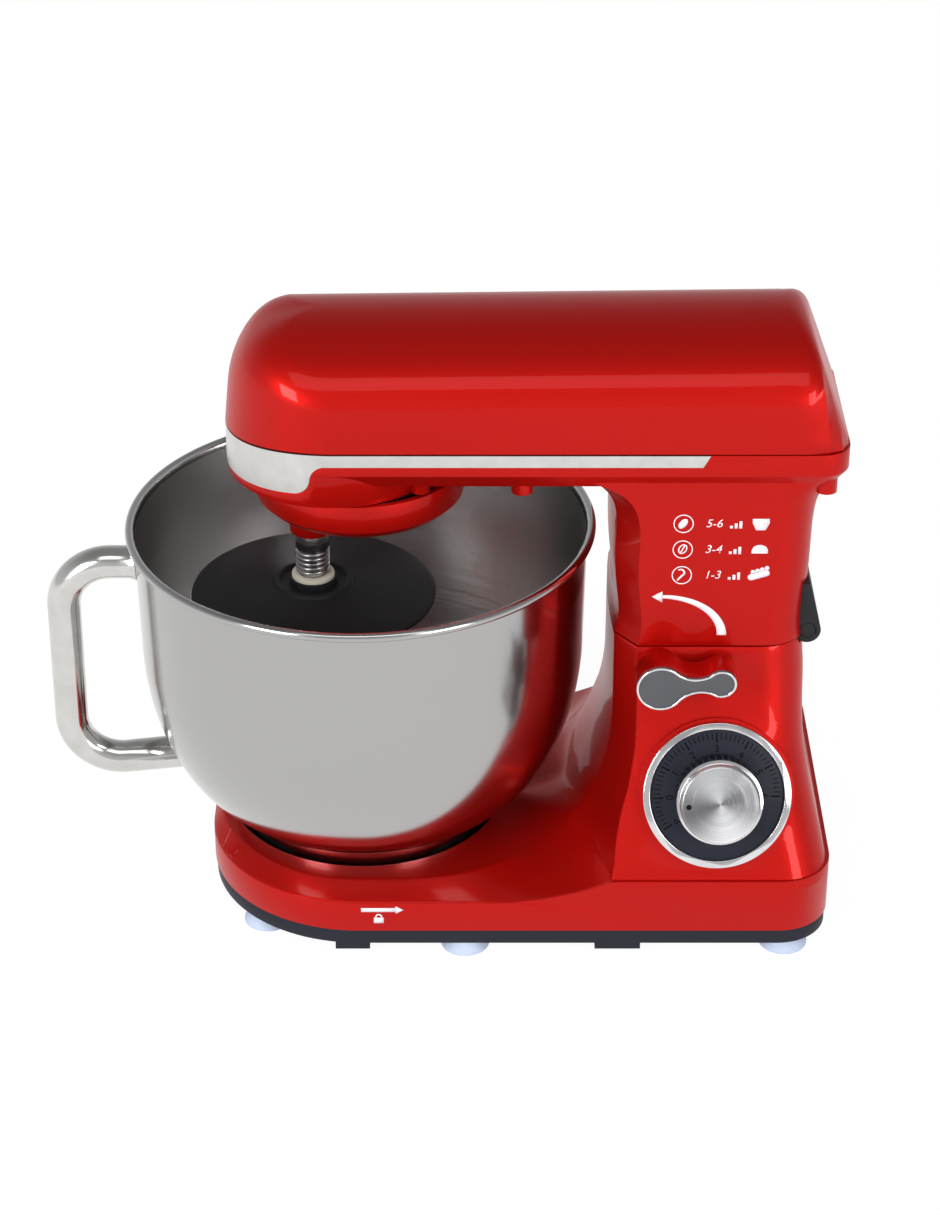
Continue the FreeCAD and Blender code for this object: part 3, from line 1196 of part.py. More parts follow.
LEVER_FACE_T = 1.6
LEVER_BUSH_R = 6.5
HOOK_Y0 = -41.0
HOOK_Y1 = -35.0
STRIKER_X0 = 146.0
STRIKER_X1 = 154.0
STRIKER_Z = 140.0


def build_lever():
    front = LEVER_FACE_Y + LEVER_FACE_T
    shaft_front = LEVER_FACE_Y + 6
    socket = rod_y(LEVER_SHAFT_R, shaft_front, 0, LEVER_X, LEVER_Z)
    save("lever_body", lever_slab(front, LEVER_BACK_Y).cut(socket))
    save("lever_face", lever_slab(LEVER_FACE_Y, front))
    save("lever_shaft", rod_y(LEVER_SHAFT_R, shaft_front, HOOK_Y1 + 1, LEVER_X, LEVER_Z))
    bush = rod_y(LEVER_BUSH_R, LEVER_BACK_Y + 1, HOOK_Y0 - 1, LEVER_X, LEVER_Z)
    save("lever_bush", bush.cut(rod_y(LEVER_SHAFT_R + RUN, LEVER_FACE_Y, 0, LEVER_X, LEVER_Z)))
    hook = side_prism([(LEVER_X - 5.2, LEVER_Z), (LEVER_X - 6.5, LEVER_Z - 6), (LEVER_X - 9, LEVER_Z - 14),
                       (LEVER_X - 4, LEVER_Z - 18), (LEVER_X + 2, LEVER_Z - 16), (LEVER_X - 1, LEVER_Z - 12),
                       (LEVER_X + 5.2, LEVER_Z)], HOOK_Y0, HOOK_Y1)
    hook = hook.fuse(rod_y(5.6, HOOK_Y0, HOOK_Y1, LEVER_X, LEVER_Z))
    save("latch_hook", hook.cut(rod_y(LEVER_SHAFT_R, LEVER_FACE_Y, 0, LEVER_X, LEVER_Z)))
    top = SEAM_Z + SEAM_GAP / 2
    tail = box(STRIKER_X0, STRIKER_X1, -31.0, -19.0, STRIKER_Z, top)
    window = box(STRIKER_X0 + 2, STRIKER_X1 - 2, -40.0, 0.0, STRIKER_Z + 3, STRIKER_Z + 9)
    save("latch_striker", tail.cut(window))


BOARD_T = 1.6
GLAND_R = 6.5
GLAND_BORE_R = 3.6


def build_base_inside():
    top = BOARD_Z + BOARD_T
    board = box(BOARD_POSTS[0][0] - 6, BOARD_POSTS[1][0] + 6, -38, 38, BOARD_Z, top)
    relay = box(160, 176, -10, 8, top, BOARD_Z + 14)
    capacitor = cyl(6.0, top, BOARD_Z + 20, 188, 14)
    heat_sink = box(156, 162, 16, 30, top, BOARD_Z + 20)
    save("control_board", fuse(board, relay, capacitor, heat_sink))
    along = V(1, 0, 0)
    gland = Part.makeCylinder(GLAND_R, 7.4, V(BASE_REAR - 7.0, GLAND_Y, GLAND_Z), along)
    flange = Part.makeCylinder(GLAND_R + 2.5, 2.5, V(BASE_REAR - WALL - 2.5, GLAND_Y, GLAND_Z), along)
    bore = Part.makeCylinder(GLAND_BORE_R, 40.0, V(BASE_REAR - 20, GLAND_Y, GLAND_Z), along)
    save("cord_gland", fuse(gland, flange).cut(bore))


def main():
    os.makedirs("parts", exist_ok=True)
    build_base()
    build_bottom_plate()
    build_base_inside()
    build_bowl_seat()
    build_bowl()
    build_head()
    build_hinge()
    build_gearbox()
    build_motor()
    build_spring()
    build_tool()
    build_dial()
    build_lever()


if __name__ == "__main__":
    main()
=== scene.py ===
import json
import math

import bmesh
import bpy
from mathutils import Matrix, Vector
from mathutils.bvhtree import BVHTree

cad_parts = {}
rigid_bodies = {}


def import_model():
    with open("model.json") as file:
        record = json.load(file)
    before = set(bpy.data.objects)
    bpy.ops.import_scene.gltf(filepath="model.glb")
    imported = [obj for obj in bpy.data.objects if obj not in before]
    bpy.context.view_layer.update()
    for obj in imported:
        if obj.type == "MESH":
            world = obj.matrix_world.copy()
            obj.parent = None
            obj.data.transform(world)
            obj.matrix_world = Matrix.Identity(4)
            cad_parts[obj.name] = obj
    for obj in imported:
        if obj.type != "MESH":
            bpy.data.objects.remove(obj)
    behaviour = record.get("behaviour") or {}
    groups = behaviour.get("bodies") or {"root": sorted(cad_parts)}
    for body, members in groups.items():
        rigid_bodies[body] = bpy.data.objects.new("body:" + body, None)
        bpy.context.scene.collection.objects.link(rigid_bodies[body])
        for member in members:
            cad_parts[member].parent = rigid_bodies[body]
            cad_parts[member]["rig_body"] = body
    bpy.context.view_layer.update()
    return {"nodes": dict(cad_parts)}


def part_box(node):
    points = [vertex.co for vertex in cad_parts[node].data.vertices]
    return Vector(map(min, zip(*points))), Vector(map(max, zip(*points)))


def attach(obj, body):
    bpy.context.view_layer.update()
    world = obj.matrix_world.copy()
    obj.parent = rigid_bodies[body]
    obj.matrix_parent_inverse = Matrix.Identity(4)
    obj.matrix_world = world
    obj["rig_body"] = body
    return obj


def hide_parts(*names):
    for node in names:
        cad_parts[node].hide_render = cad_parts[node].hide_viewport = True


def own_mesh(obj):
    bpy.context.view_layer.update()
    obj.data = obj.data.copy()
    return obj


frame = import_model()
bpy.context.scene.view_settings.view_transform = "Standard"

# Bottom tray: a shallow dark moulding screwed under the base, with vent slots at the rear.
# It carries six milky silicone suction feet, the circuit board and the screws that hold it up.
MM = 0.001
bowl_low, bowl_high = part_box("bowl_shell")
bowl_x = (bowl_low.x + bowl_high.x) / 2


def spot(x, y, z):
    """A point measured in millimetres from the bowl's axis, in the shared frame."""
    return Vector((x * MM + bowl_x, y * MM, z * MM))


class Flow:
    """A value on its way through a finish; arithmetic on it adds Math nodes."""

    def __init__(self, tree, socket):
        self.tree = tree
        self.socket = socket

    def math(self, operation, first, second=0.0):
        node = self.tree.nodes.new("ShaderNodeMath")
        node.operation = operation
        for place, value in enumerate((first, second)):
            if isinstance(value, Flow):
                self.tree.links.new(value.socket, node.inputs[place])
            else:
                node.inputs[place].default_value = value
        return Flow(self.tree, node.outputs[0])

    def __add__(self, other):
        return self.math("ADD", self, other)

    def __sub__(self, other):
        return self.math("SUBTRACT", self, other)

    def __rsub__(self, other):
        return self.math("SUBTRACT", other, self)

    def __mul__(self, other):
        return self.math("MULTIPLY", self, other)

    def __gt__(self, level):
        return self.math("GREATER_THAN", self, level)

    def __lt__(self, level):
        return self.math("LESS_THAN", self, level)

    def __or__(self, other):
        return self.math("MAXIMUM", self, other)

    __radd__ = __add__
    __rmul__ = __mul__


class Nodes:
    """A node tree and the one way in which nodes are put into it."""

    def __init__(self, tree):
        self.tree = tree

    def node(self, kind, settings, sockets, output=0):
        made = self.tree.nodes.new(kind)
        for setting, value in settings.items():
            setattr(made, setting, value)
        for socket, value in sockets.items():
            if isinstance(value, Flow):
                self.tree.links.new(value.socket, made.inputs[socket])
            else:
                made.inputs[socket].default_value = value
        return Flow(self.tree, made.outputs[output])

    def surface(self, output, shading):
        """Sends a shading to the tree's own output."""
        self.tree.links.new(shading.socket, self.tree.nodes[output].inputs["Surface"])


class Finish(Nodes):
    """A surface finish: one shader with its constants, and the nodes that vary it."""

    def __init__(self, name, colour, **constants):
        self.material = bpy.data.materials.new(name)
        self.material.use_nodes = True
        super().__init__(self.material.node_tree)
        self.shader = self.tree.nodes["Principled BSDF"]
        self.colour = colour
        self.shader.inputs["Base Color"].default_value = (*colour, 1.0)
        for label, value in constants.items():
            socket = label.replace("_", " ").title().replace("Ior", "IOR")
            self.shader.inputs[socket].default_value = value

    def feed(self, socket, value):
        self.tree.links.new(value.socket, self.shader.inputs[socket])

    def place(self):
        return self.node("ShaderNodeTexCoord", {}, {}, "Object")

    def grain(self, scale, detail=2.0, stretch=(1.0, 1.0, 1.0)):
        """Soft noise with the given number of specks to the metre."""
        spread = self.node("ShaderNodeMapping", {}, {"Vector": self.place(), "Scale": stretch})
        return self.node("ShaderNodeTexNoise", {}, {"Vector": spread, "Scale": scale, "Detail": detail})

    def tint(self, share, low, high):
        """Colour that goes from low to high with the share."""
        sockets = {0: share, 6: (*low, 1.0), 7: (*high, 1.0)}
        self.feed("Base Color", self.node("ShaderNodeMix", {"data_type": "RGBA"}, sockets, 2))

    def bump(self, height, depth_mm, strength=1.0):
        sockets = {"Height": height, "Distance": depth_mm * MM, "Strength": strength}
        self.feed("Normal", self.node("ShaderNodeBump", {}, sockets))

    def shaded(self, share):
        """Light and dark versions of the finish's own colour."""
        dark, light = 0.82, 1.14
        self.tint(share, [c * dark for c in self.colour], [min(1.0, c * light) for c in self.colour])


def moulded(name, colour, roughness, grain_mm):
    """Moulded plastic or rubber: spark-eroded grain and slightly uneven gloss."""
    finish = Finish(name, colour, roughness=roughness, specular_ior_level=0.12)
    pebble = finish.grain(1.0 / (grain_mm * MM), 3.0)
    cloud = finish.grain(40.0, 2.0)
    finish.shaded(cloud * 0.6 + pebble * 0.4)
    finish.feed("Roughness", cloud * 0.14 + (roughness - 0.07))
    finish.bump(pebble, 0.05, 0.5)
    return finish


WELD = 2e-6
FLAT_ANGLE = math.radians(0.3)
CRISP_ANGLE = math.radians(38.0)


def softened(shape, edges, edge_mm, segments):
    """Rounds edges over the given reach."""
    bmesh.ops.bevel(shape, geom=edges, offset=edge_mm * MM, segments=segments, profile=0.5, affect="EDGES",
                    material=-1, clamp_overlap=True)


def bent(shape, angle):
    """The edges between two faces that turn by more than the angle."""
    return [e for e in shape.edges if len(e.link_faces) == 2 and e.calc_face_angle() > angle]


def settled(name, shape):
    """Turns a finished shape into a mesh."""
    mesh = bpy.data.meshes.new(name)
    shape.to_mesh(mesh)
    shape.free()
    return mesh


def dressed(node, finish, edge_mm=0.0, corner=30.0, segments=2, left_out=None):
    """A welded, smooth copy of a solid with softened edges, which stands for it.
    Faces for which left_out is true are taken off, for another piece to cover."""
    solid = frame["nodes"][node]
    shape = bmesh.new()
    shape.from_mesh(solid.data)
    bmesh.ops.remove_doubles(shape, verts=shape.verts, dist=WELD)
    bmesh.ops.dissolve_degenerate(shape, edges=shape.edges, dist=WELD)
    bmesh.ops.dissolve_limit(shape, angle_limit=FLAT_ANGLE, verts=shape.verts, edges=shape.edges)
    if left_out:
        bmesh.ops.delete(shape, geom=[f for f in shape.faces if left_out(f)], context="FACES")
    if edge_mm:
        softened(shape, bent(shape, math.radians(corner)), edge_mm, segments)
    name = node + "_skin"
    return shown(name, settled(name, shape), finish, solid["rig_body"], node)


def shown(name, mesh, finish, body, *nodes):
    """Puts a finished mesh on its body, smooth with crisp corners, in place of its nodes."""
    mesh.materials.clear()
    mesh.materials.append(finish.material)
    mesh.shade_smooth()
    mesh.set_sharp_from_angle(angle=CRISP_ANGLE)
    piece = bpy.data.objects.new(name, mesh)
    bpy.context.scene.collection.objects.link(piece)
    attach(piece, body)
    if nodes:
        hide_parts(*nodes)
    return piece


def coated(finish, *nodes):
    """A finish for solids that stay as they are."""
    for node in nodes:
        frame["nodes"][node].data.materials.clear()
        frame["nodes"][node].data.materials.append(finish.material)


tray_plastic = moulded("tray_plastic", (0.020, 0.021, 0.030), 0.5, 0.5)
dressed("bottom_plate", tray_plastic, 0.5)
silicone = Finish("milky_silicone", (0.52, 0.60, 0.76), roughness=0.5, specular_ior_level=0.2)
silicone.bump(silicone.grain(900.0, 2.0), 0.03, 0.5)
silicone.shaded(silicone.grain(60.0, 2.0))
dressed("suction_feet", silicone, 0.4)


def machined(name, colour, roughness, line_mm=0.2):
    """Metal with fine tool lines and handling marks."""
    finish = Finish(name, colour, metallic=1.0, roughness=roughness)
    lines = finish.grain(1.0 / (line_mm * MM), 2.0, (0.06, 0.06, 1.0))
    marks = finish.grain(120.0, 4.0)
    finish.shaded(marks)
    finish.feed("Roughness", marks * 0.16 + (roughness - 0.08))
    finish.bump(lines, 0.02, 0.4)
    return finish


bright_steel = machined("bright_steel", (0.50, 0.50, 0.51), 0.28)
coated(bright_steel, "plate_screws")
board_resin = moulded("board_resin", (0.03, 0.16, 0.07), 0.4, 1.2)
coated(board_resin, "control_board")
gland_rubber = moulded("gland_rubber", (0.02, 0.02, 0.02), 0.62, 0.4)
dressed("cord_gland", gland_rubber, 0.4)

# Base casing: one cast metal body, skirt, deck and column in one, painted candy red under a clear lacquer.
# A smooth sweep runs from the bevel round the deck up into the column's corners and front.
# An arrow is printed on the skirt, over a small padlock.


def candy_red():
    """Metallic paint with fine flakes under lacquer with a faint orange peel."""
    finish = Finish("candy_red", (0.48, 0.004, 0.0015), metallic=0.62, roughness=0.44, coat_weight=0.24,
                    coat_roughness=0.04, specular_ior_level=0.1)
    flakes = finish.grain(3200.0, 1.0)
    cloud = finish.grain(14.0, 2.0)
    finish.shaded(flakes * 0.75 + cloud * 0.25)
    finish.feed("Roughness", flakes * 0.12 + 0.38)
    finish.bump(flakes * 0.3 + finish.grain(260.0, 2.0), 0.05, 0.35)
    return finish


red_paint = candy_red()
BASE_SIDE = 93.0
BASE_FRONT = -77.0
FRONT_R = 76.0
RIM_FRONT = -72.5
RIM_SIDE = 80.4
RIM_CORNER_R = 71.5
EDGE_Z = 32.3
RIM_HEIGHT = 38.0
CREASE_Z = 45.0
RAMP_FROM = 65.0
RAMP_TO = 124.0
MOUTH_R = 69.4
PROUD = 0.12
LIP = 2.4
LIP_DIVE = 0.47
CORNER_ROWS = [(45.0, 123.0, 91.0), (54.0, 124.0, 87.6), (64.0, 124.8, 83.9), (76.0, 127.0, 79.4),
               (91.0, 131.0, 73.8), (107.0, 133.6, 67.8), (124.0, 134.4, 61.6), (140.0, 134.4, 56.8),
               (154.6, 134.0, 53.2)]
SIDE_XS = [-1.0, 14.0, 30.0, 48.0, 65.0, 80.0, 95.0, 108.0, 118.0, 124.0]
CORNER_ZS = [45.0, 58.0, 73.0, 90.0, 107.0, 124.0, 140.0, 154.6]
INNER_EDGE = [Vector(p) for p in (
    (-1.0, -80.4, 38.0), (12.0, -80.4, 38.0), (25.0, -80.2, 38.0), (42.0, -77.6, 38.0), (57.0, -72.3, 38.0),
    (71.0, -64.5, 38.2), (83.0, -55.8, 39.2), (92.0, -49.0, 41.8), (99.5, -44.4, 46.4), (106.0, -41.4, 53.5),
    (112.6, -40.0, 64.0), (117.8, -39.8, 76.0), (121.6, -39.5, 91.0), (123.2, -39.5, 107.0),
    (123.4, -39.5, 124.0), (123.4, -39.5, 140.0), (123.4, -39.0, 154.6))]
SADDLE = [Vector(p) for p in (
    (58.0, 0.0, 38.0), (69.4, 0.0, 38.0), (97.0, 0.0, 45.5), (107.5, 0.0, 60.0), (115.0, 0.0, 75.0),
    (119.4, 0.0, 91.0), (121.2, 0.0, 107.0), (121.5, 0.0, 124.0), (121.5, 0.0, 140.0), (121.6, 0.0, 154.6))]
FLAT_STEP, ARC_STEP, LEAVE_STEP, SADDLE_STEP, CORNER_STEP, LAST_STEP = -6, -5, 5, 8, 9, 16


def through(points, t):
    """A smooth line through evenly spaced points, read at t counted in points."""
    i = min(max(int(t), 0), len(points) - 2)
    u = t - i
    b, c = points[i], points[i + 1]
    a, d = points[max(i - 1, 0)], points[min(i + 2, len(points) - 1)]
    square, cube = 2 * a - 5 * b + 4 * c - d, 3 * b - a - 3 * c + d
    return (2 * b + (c - a) * u + square * u ** 2 + cube * u ** 3) * 0.5


def steps_read(values, t):
    """A broken line through evenly spaced values, read at t counted in values."""
    i = min(max(int(t), 0), len(values) - 2)
    return values[i] + (values[i + 1] - values[i]) * (t - i)


def corner_at(z):
    """The column's outer corner at height z."""
    for (z0, x0, y0), (z1, x1, y1) in zip(CORNER_ROWS, CORNER_ROWS[1:]):
        if z <= z1:
            u = (z - z0) / (z1 - z0)
            return Vector((x0 + (x1 - x0) * u, -(y0 + (y1 - y0) * u), z))
    return Vector((CORNER_ROWS[-1][1], -CORNER_ROWS[-1][2], z))


def front_turn(step, front, side, corner_r, z):
    """The rounded front of the base in plan, and the way out from it."""
    if step < ARC_STEP:
        return Vector((front, -(side - corner_r) * (step - FLAT_STEP), z)), Vector((-1, 0, 0))
    angle = math.pi / 2 * (step - ARC_STEP) / -ARC_STEP
    out = Vector((-math.cos(angle), -math.sin(angle), 0))
    return Vector((front + corner_r, corner_r - side, z)) + out * corner_r, out


def outer_edge(step):
    """The lower edge of the sweep, round the skirt and up the column's corner, and the lip beyond it."""
    if step < 0:
        edge, out = front_turn(step, BASE_FRONT, BASE_SIDE, FRONT_R, EDGE_Z)
        return edge + out * PROUD, edge + out * (PROUD - LIP_DIVE) - Vector((0, 0, LIP))
    if step < CORNER_STEP:
        x = steps_read(SIDE_XS, step)
        rise = max(0.0, (x - RAMP_FROM) / (RAMP_TO - RAMP_FROM)) ** 2
        edge = Vector((x, -BASE_SIDE - PROUD, EDGE_Z + (CREASE_Z - EDGE_Z) * rise))
        return edge, edge + Vector((0, LIP_DIVE, -LIP))
    edge = corner_at(steps_read(CORNER_ZS, step - CORNER_STEP)) - Vector((0, PROUD, 0))
    return edge, edge + Vector((LIP, LIP_DIVE, 0))


def inner_edge(step):
    """The upper edge of the sweep, round the deck and up inside the column's corner."""
    if step < 0:
        return front_turn(step, RIM_FRONT, RIM_SIDE, RIM_CORNER_R, RIM_HEIGHT)[0]
    return through(INNER_EDGE, step)


def mouth_edge(step, rim):
    """Where the deck ends: at the bowl's opening, or on the middle of the column's front."""
    if step >= SADDLE_STEP:
        return through(SADDLE, step - SADDLE_STEP + 1)
    turn = math.atan2(rim.y, rim.x)
    if step > LEAVE_STEP:
        start = inner_edge(LEAVE_STEP)
        turn = math.atan2(start.y, start.x) * (SADDLE_STEP - step) / (SADDLE_STEP - LEAVE_STEP)
    return Vector((MOUTH_R * math.cos(turn), MOUTH_R * math.sin(turn), RIM_HEIGHT))


CUTS = 5
SHUT_STEP = 15.9
SHUT_IN = 0.9
STATIONS = [FLAT_STEP + i / CUTS for i in range(CUTS * (LAST_STEP - FLAT_STEP))]
STATIONS += [SHUT_STEP, SHUT_STEP + 0.06, LAST_STEP]
LOW_ROW, RIM_ROW, DECK_ROWS = 1, 6, 8
DECK_END = RIM_ROW + DECK_ROWS
BEVEL_MARGIN, BEVEL_SHARE = 2.2, 0.3
DECK_MARGIN, DECK_SHARE = 1.5, 0.48
MOUTH_ROUND = ((0.3, 0.1), (0.5, 0.5), (0.5, 6.0))
ridge = set()


def ridge_key(place):
    """A place on either side of the base, rounded so that it can be found again."""
    return round(place.x, 5), -abs(round(place.y, 5)), round(place.z, 5)


def sweep_point(column, row):
    """A point of the sweep: lip, outer edge, bevel, inner edge, deck, then the wall of the mouth."""
    step = STATIONS[column]
    low, lip = outer_edge(step)
    rim = inner_edge(step)
    mouth = mouth_edge(step, rim)
    shut = Vector((SHUT_IN * (max(0.0, step - SHUT_STEP) / (LAST_STEP - SHUT_STEP)) ** 2, 0, 0))
    if row <= LOW_ROW:
        point = (lip, low)[row]
    elif row <= RIM_ROW:
        margin = min(BEVEL_SHARE, BEVEL_MARGIN / (rim - low).length)
        third = (1 - 2 * margin) / 3
        shares = (margin, margin + third, margin + 2 * third, 1 - margin, 1.0)
        point = low.lerp(rim, shares[row - LOW_ROW - 1])
    elif row <= DECK_END:
        margin = min(DECK_SHARE, DECK_MARGIN / (rim - mouth).length)
        share = min(1.0, margin + (1 - margin) * (row - RIM_ROW - 1) / (DECK_ROWS - 1))
        point = rim.lerp(mouth, share)
        bow = 1.0 + min(1.0, max(0.0, (step - SADDLE_STEP) / 2))
        point.x = mouth.x + (rim.x - mouth.x) * (1 - share) ** bow
    else:
        point = mouth.copy()
        if step < SADDLE_STEP:
            inward, drop = MOUTH_ROUND[row - DECK_END - 1]
            point = point * (1 - inward / MOUTH_R)
            point.z = RIM_HEIGHT - drop
    place = spot(*(point + shut))
    if row in (LOW_ROW, RIM_ROW):
        ridge.add(ridge_key(place))
    return place


SEAM = 1e-5


def draped(columns, rows, place):
    """A skin: a grid whose points go to place(column, row), welded where they meet."""
    skin = bmesh.new()
    made = bmesh.ops.create_grid(skin, x_segments=columns, y_segments=rows, size=0.5)["verts"]
    for v in made:
        v.co = place(round((v.co.x + 0.5) * columns), round((v.co.y + 0.5) * rows))
    bmesh.ops.remove_doubles(skin, verts=skin.verts, dist=SEAM)
    bmesh.ops.dissolve_degenerate(skin, edges=skin.edges, dist=SEAM / 10)
    bmesh.ops.recalc_face_normals(skin, faces=skin.faces)
    return skin


def skinned(name, skin, finish, body, wall_mm, *nodes):
    """Makes a draped skin a piece with a wall of its own."""
    piece = shown(name, settled(name, skin), finish, body, *nodes)
    wall = piece.modifiers.new("wall", "SOLIDIFY")
    wall.thickness = wall_mm * MM
    wall.offset = -1.0
    return piece


SWEEP_EDGE = 1.3
SWEEP_WALL = 2.0
sweep = draped(len(STATIONS) - 1, DECK_END + len(MOUTH_ROUND), sweep_point)
bmesh.ops.mirror(sweep, geom=sweep.verts[:] + sweep.edges[:] + sweep.faces[:], matrix=Matrix.Identity(4),
                 merge_dist=2 * SEAM, axis="Y")
bmesh.ops.remove_doubles(sweep, verts=sweep.verts, dist=SEAM)
bmesh.ops.recalc_face_normals(sweep, faces=sweep.faces)
ridges = [e for e in sweep.edges if len(e.link_faces) == 2 and all(ridge_key(v.co) in ridge for v in e.verts)]
softened(sweep, ridges, SWEEP_EDGE, 3)
skinned("base_sweep", sweep, red_paint, "stand", SWEEP_WALL)
LEVER_X, LEVER_Z, LEVER_BOSS = 144.2, 145.5, 11.0
COVER_GAP = 0.6


def under_sweep(face):
    """Whether a face of the casting lies where the sweep covers it."""
    middle = face.calc_center_bounds()
    x, z = (middle.x - bowl_x) / MM, middle.z / MM
    if math.hypot(x - LEVER_X, z - LEVER_Z) < LEVER_BOSS:
        return False
    return z > EDGE_Z + COVER_GAP and x < (RAMP_TO if z < CREASE_Z + 1.0 else corner_at(z).x - COVER_GAP)


BODY_CORNER = 24.0
dressed("base_shell", red_paint, 1.6, BODY_CORNER, 3, left_out=under_sweep)


def flat_sheet():
    """An empty flat drawing, in millimetres, that prints are cut from."""
    return bmesh.new()


def laid(x, y, turn, width=1.0, height=1.0):
    """Moves, turns and stretches a drawing."""
    turned = Matrix.Translation((x, y, 0)) @ Matrix.Rotation(turn, 4, "Z")
    return turned @ Matrix.Diagonal((width, height, 1, 1))


def bar(sheet, x, y, width, height, turn=0.0):
    """A filled oblong about its middle."""
    place = laid(x, y, turn, width, height)
    bmesh.ops.create_grid(sheet, x_segments=1, y_segments=1, size=0.5, matrix=place)


def disc(sheet, x, y, radius, sides=32, turn=0.0, squeeze=1.0):
    """A filled round, or an even polygon of few sides."""
    place = laid(x, y, turn, 1.0, squeeze)
    return bmesh.ops.create_circle(sheet, cap_ends=True, segments=sides, radius=radius, matrix=place)["verts"]


def hoop(sheet, x, y, radius, stroke, squeeze=1.0, turn=0.0):
    """A ring of even stroke: a disc whose middle is inset and taken out."""
    faces = list({f for v in disc(sheet, x, y, radius, 36, turn, squeeze) for f in v.link_faces})
    bmesh.ops.inset_region(sheet, faces=faces, thickness=stroke, use_boundary=True, use_even_offset=True)
    bmesh.ops.delete(sheet, geom=faces, context="FACES")


def swoosh(sheet, line, width, steps):
    """A strip laid along a line; line and width are read at shares from 0 to 1."""
    place = laid(0.5, 0.0, 0.0)
    made = bmesh.ops.create_grid(sheet, x_segments=steps, y_segments=1, size=0.5, matrix=place)["verts"]
    near = 0.01
    for v in made:
        share, side = v.co.x, v.co.y * 2
        ahead = (line(share + near) - line(share - near)).normalized()
        v.co = line(share) + Vector((-ahead.y, ahead.x, 0)) * side * width(share) / 2


def words(sheet, text, x, y, size, turn=0.0, slant=0.0):
    """Plain figures, laid flat."""
    letters = bpy.data.curves.new("figures", "FONT")
    letters.body = text
    letters.size = size
    letters.shear = slant
    letters.align_x = "CENTER"
    letters.align_y = "CENTER"
    holder = bpy.data.objects.new("figures", letters)
    mesh = bpy.data.meshes.new_from_object(holder)
    mesh.transform(laid(x, y, turn))
    sheet.from_mesh(mesh)
    bpy.data.objects.remove(holder)
    bpy.data.curves.remove(letters)
    bpy.data.meshes.remove(mesh)


PRINT_T = 0.06
PRINT_LIFT = PRINT_T * 0.6
DRAWN_WELD = 1e-4


def printed(name, sheet, place, finish, body):
    """Turns a flat drawing into a thin layer of ink; place says where each of its points goes."""
    bmesh.ops.remove_doubles(sheet, verts=sheet.verts, dist=DRAWN_WELD)
    bmesh.ops.recalc_face_normals(sheet, faces=sheet.faces)
    for v in sheet.verts:
        v.co = place(v.co)
    piece = shown(name, settled(name, sheet), finish, body)
    layer = piece.modifiers.new("ink", "SOLIDIFY")
    layer.thickness = PRINT_T * MM
    layer.offset = 0.0


FAR_OUT = -300.0


def onto_side(node):
    """Where a drawing of x and height lands on the side of a solid that faces the front."""
    solid = frame["nodes"][node].data
    surface = BVHTree.FromPolygons([v.co for v in solid.vertices], [p.vertices for p in solid.polygons])

    def place(point):
        start = spot(point.x, FAR_OUT, point.y)
        hit = surface.ray_cast(start, Vector((0, 1, 0)))[0]
        return hit - Vector((0, PRINT_LIFT * MM, 0))

    return place


def ink(name, colour, roughness=0.4):
    """Screen-printed ink: a thin, slightly uneven layer."""
    finish = Finish(name, colour, roughness=roughness, specular_ior_level=0.1)
    finish.shaded(finish.grain(700.0, 3.0))
    return finish


white_ink = ink("white_ink", (0.84, 0.80, 0.84))
ARROW_Z = 28.4
ARROW_END = 17.0
ARROW_W = 2.3
ARROW_HEAD_R = 2.6
LOCK_X = 8.6
LOCK_Z = 22.2
LOCK_W = 4.8
LOCK_H = 3.2
SHACKLE_R = 1.5
SHACKLE_H = 1.9
SHACKLE_T = 0.7
skirt_arrow = flat_sheet()
bar(skirt_arrow, ARROW_END / 2, ARROW_Z, ARROW_END, ARROW_W)
disc(skirt_arrow, ARROW_END + 1.2, ARROW_Z, ARROW_HEAD_R, 3, -math.pi / 2)
bar(skirt_arrow, LOCK_X, LOCK_Z, LOCK_W, LOCK_H)


def shackle_line(share):
    """The hoop on top of the padlock."""
    angle = math.pi * share
    top = LOCK_Z + LOCK_H / 2
    return Vector((LOCK_X + SHACKLE_R * math.cos(angle), top + SHACKLE_H * math.sin(angle), 0))


swoosh(skirt_arrow, shackle_line, lambda share: SHACKLE_T, 16)
printed("skirt_arrow", skirt_arrow, onto_side("base_shell"), white_ink, "stand")

# Bowl seat: a dark moulded ring with four locking lugs, in hard matt plastic.
# Steel screws hold it down in the recess of the deck.
seat_plastic = moulded("seat_plastic", (0.02, 0.02, 0.022), 0.45, 0.4)
dressed("bowl_seat", seat_plastic, 0.4)
coated(bright_steel, "seat_screws")

# Speed dial: a chrome bezel round a dark disc that carries the scale; the switch sits behind it.
# Fifty black ticks in seven groups run round from the pulse mark to the fastest step.
DIAL_TILT = math.radians(21.0)
dial_centre = spot(173.0, -82.0, 88.0)
dial_right = Vector((1, 0, 0))
dial_up = Vector((0, math.sin(DIAL_TILT), math.cos(DIAL_TILT)))
dial_out = Vector((0, -math.cos(DIAL_TILT), math.sin(DIAL_TILT)))
FACE_OUT = -1.6


def polished(name, colour, roughness):
    """Plated or polished metal with faint swirl marks."""
    finish = Finish(name, colour, metallic=1.0, roughness=roughness)
    haze = finish.grain(90.0, 4.0)
    finish.shaded(haze)
    finish.feed("Roughness", haze * 0.08 + (roughness - 0.03))
    finish.bump(finish.grain(1500.0, 1.0), 0.01, 0.2)
    return finish


chrome = polished("chrome", (0.74, 0.73, 0.74), 0.09)
dressed("dial_bezel", chrome, 0.5)
dial_plastic = moulded("dial_plastic", (0.019, 0.021, 0.031), 0.34, 0.3)
dressed("dial_face", dial_plastic, 0.2)


def on_dial(lift):
    """Where a drawing lands on the dial, lift millimetres in front of the bezel's edge."""

    def place(point):
        return dial_centre + (dial_right * point.x + dial_up * point.y + dial_out * lift) * MM

    return place


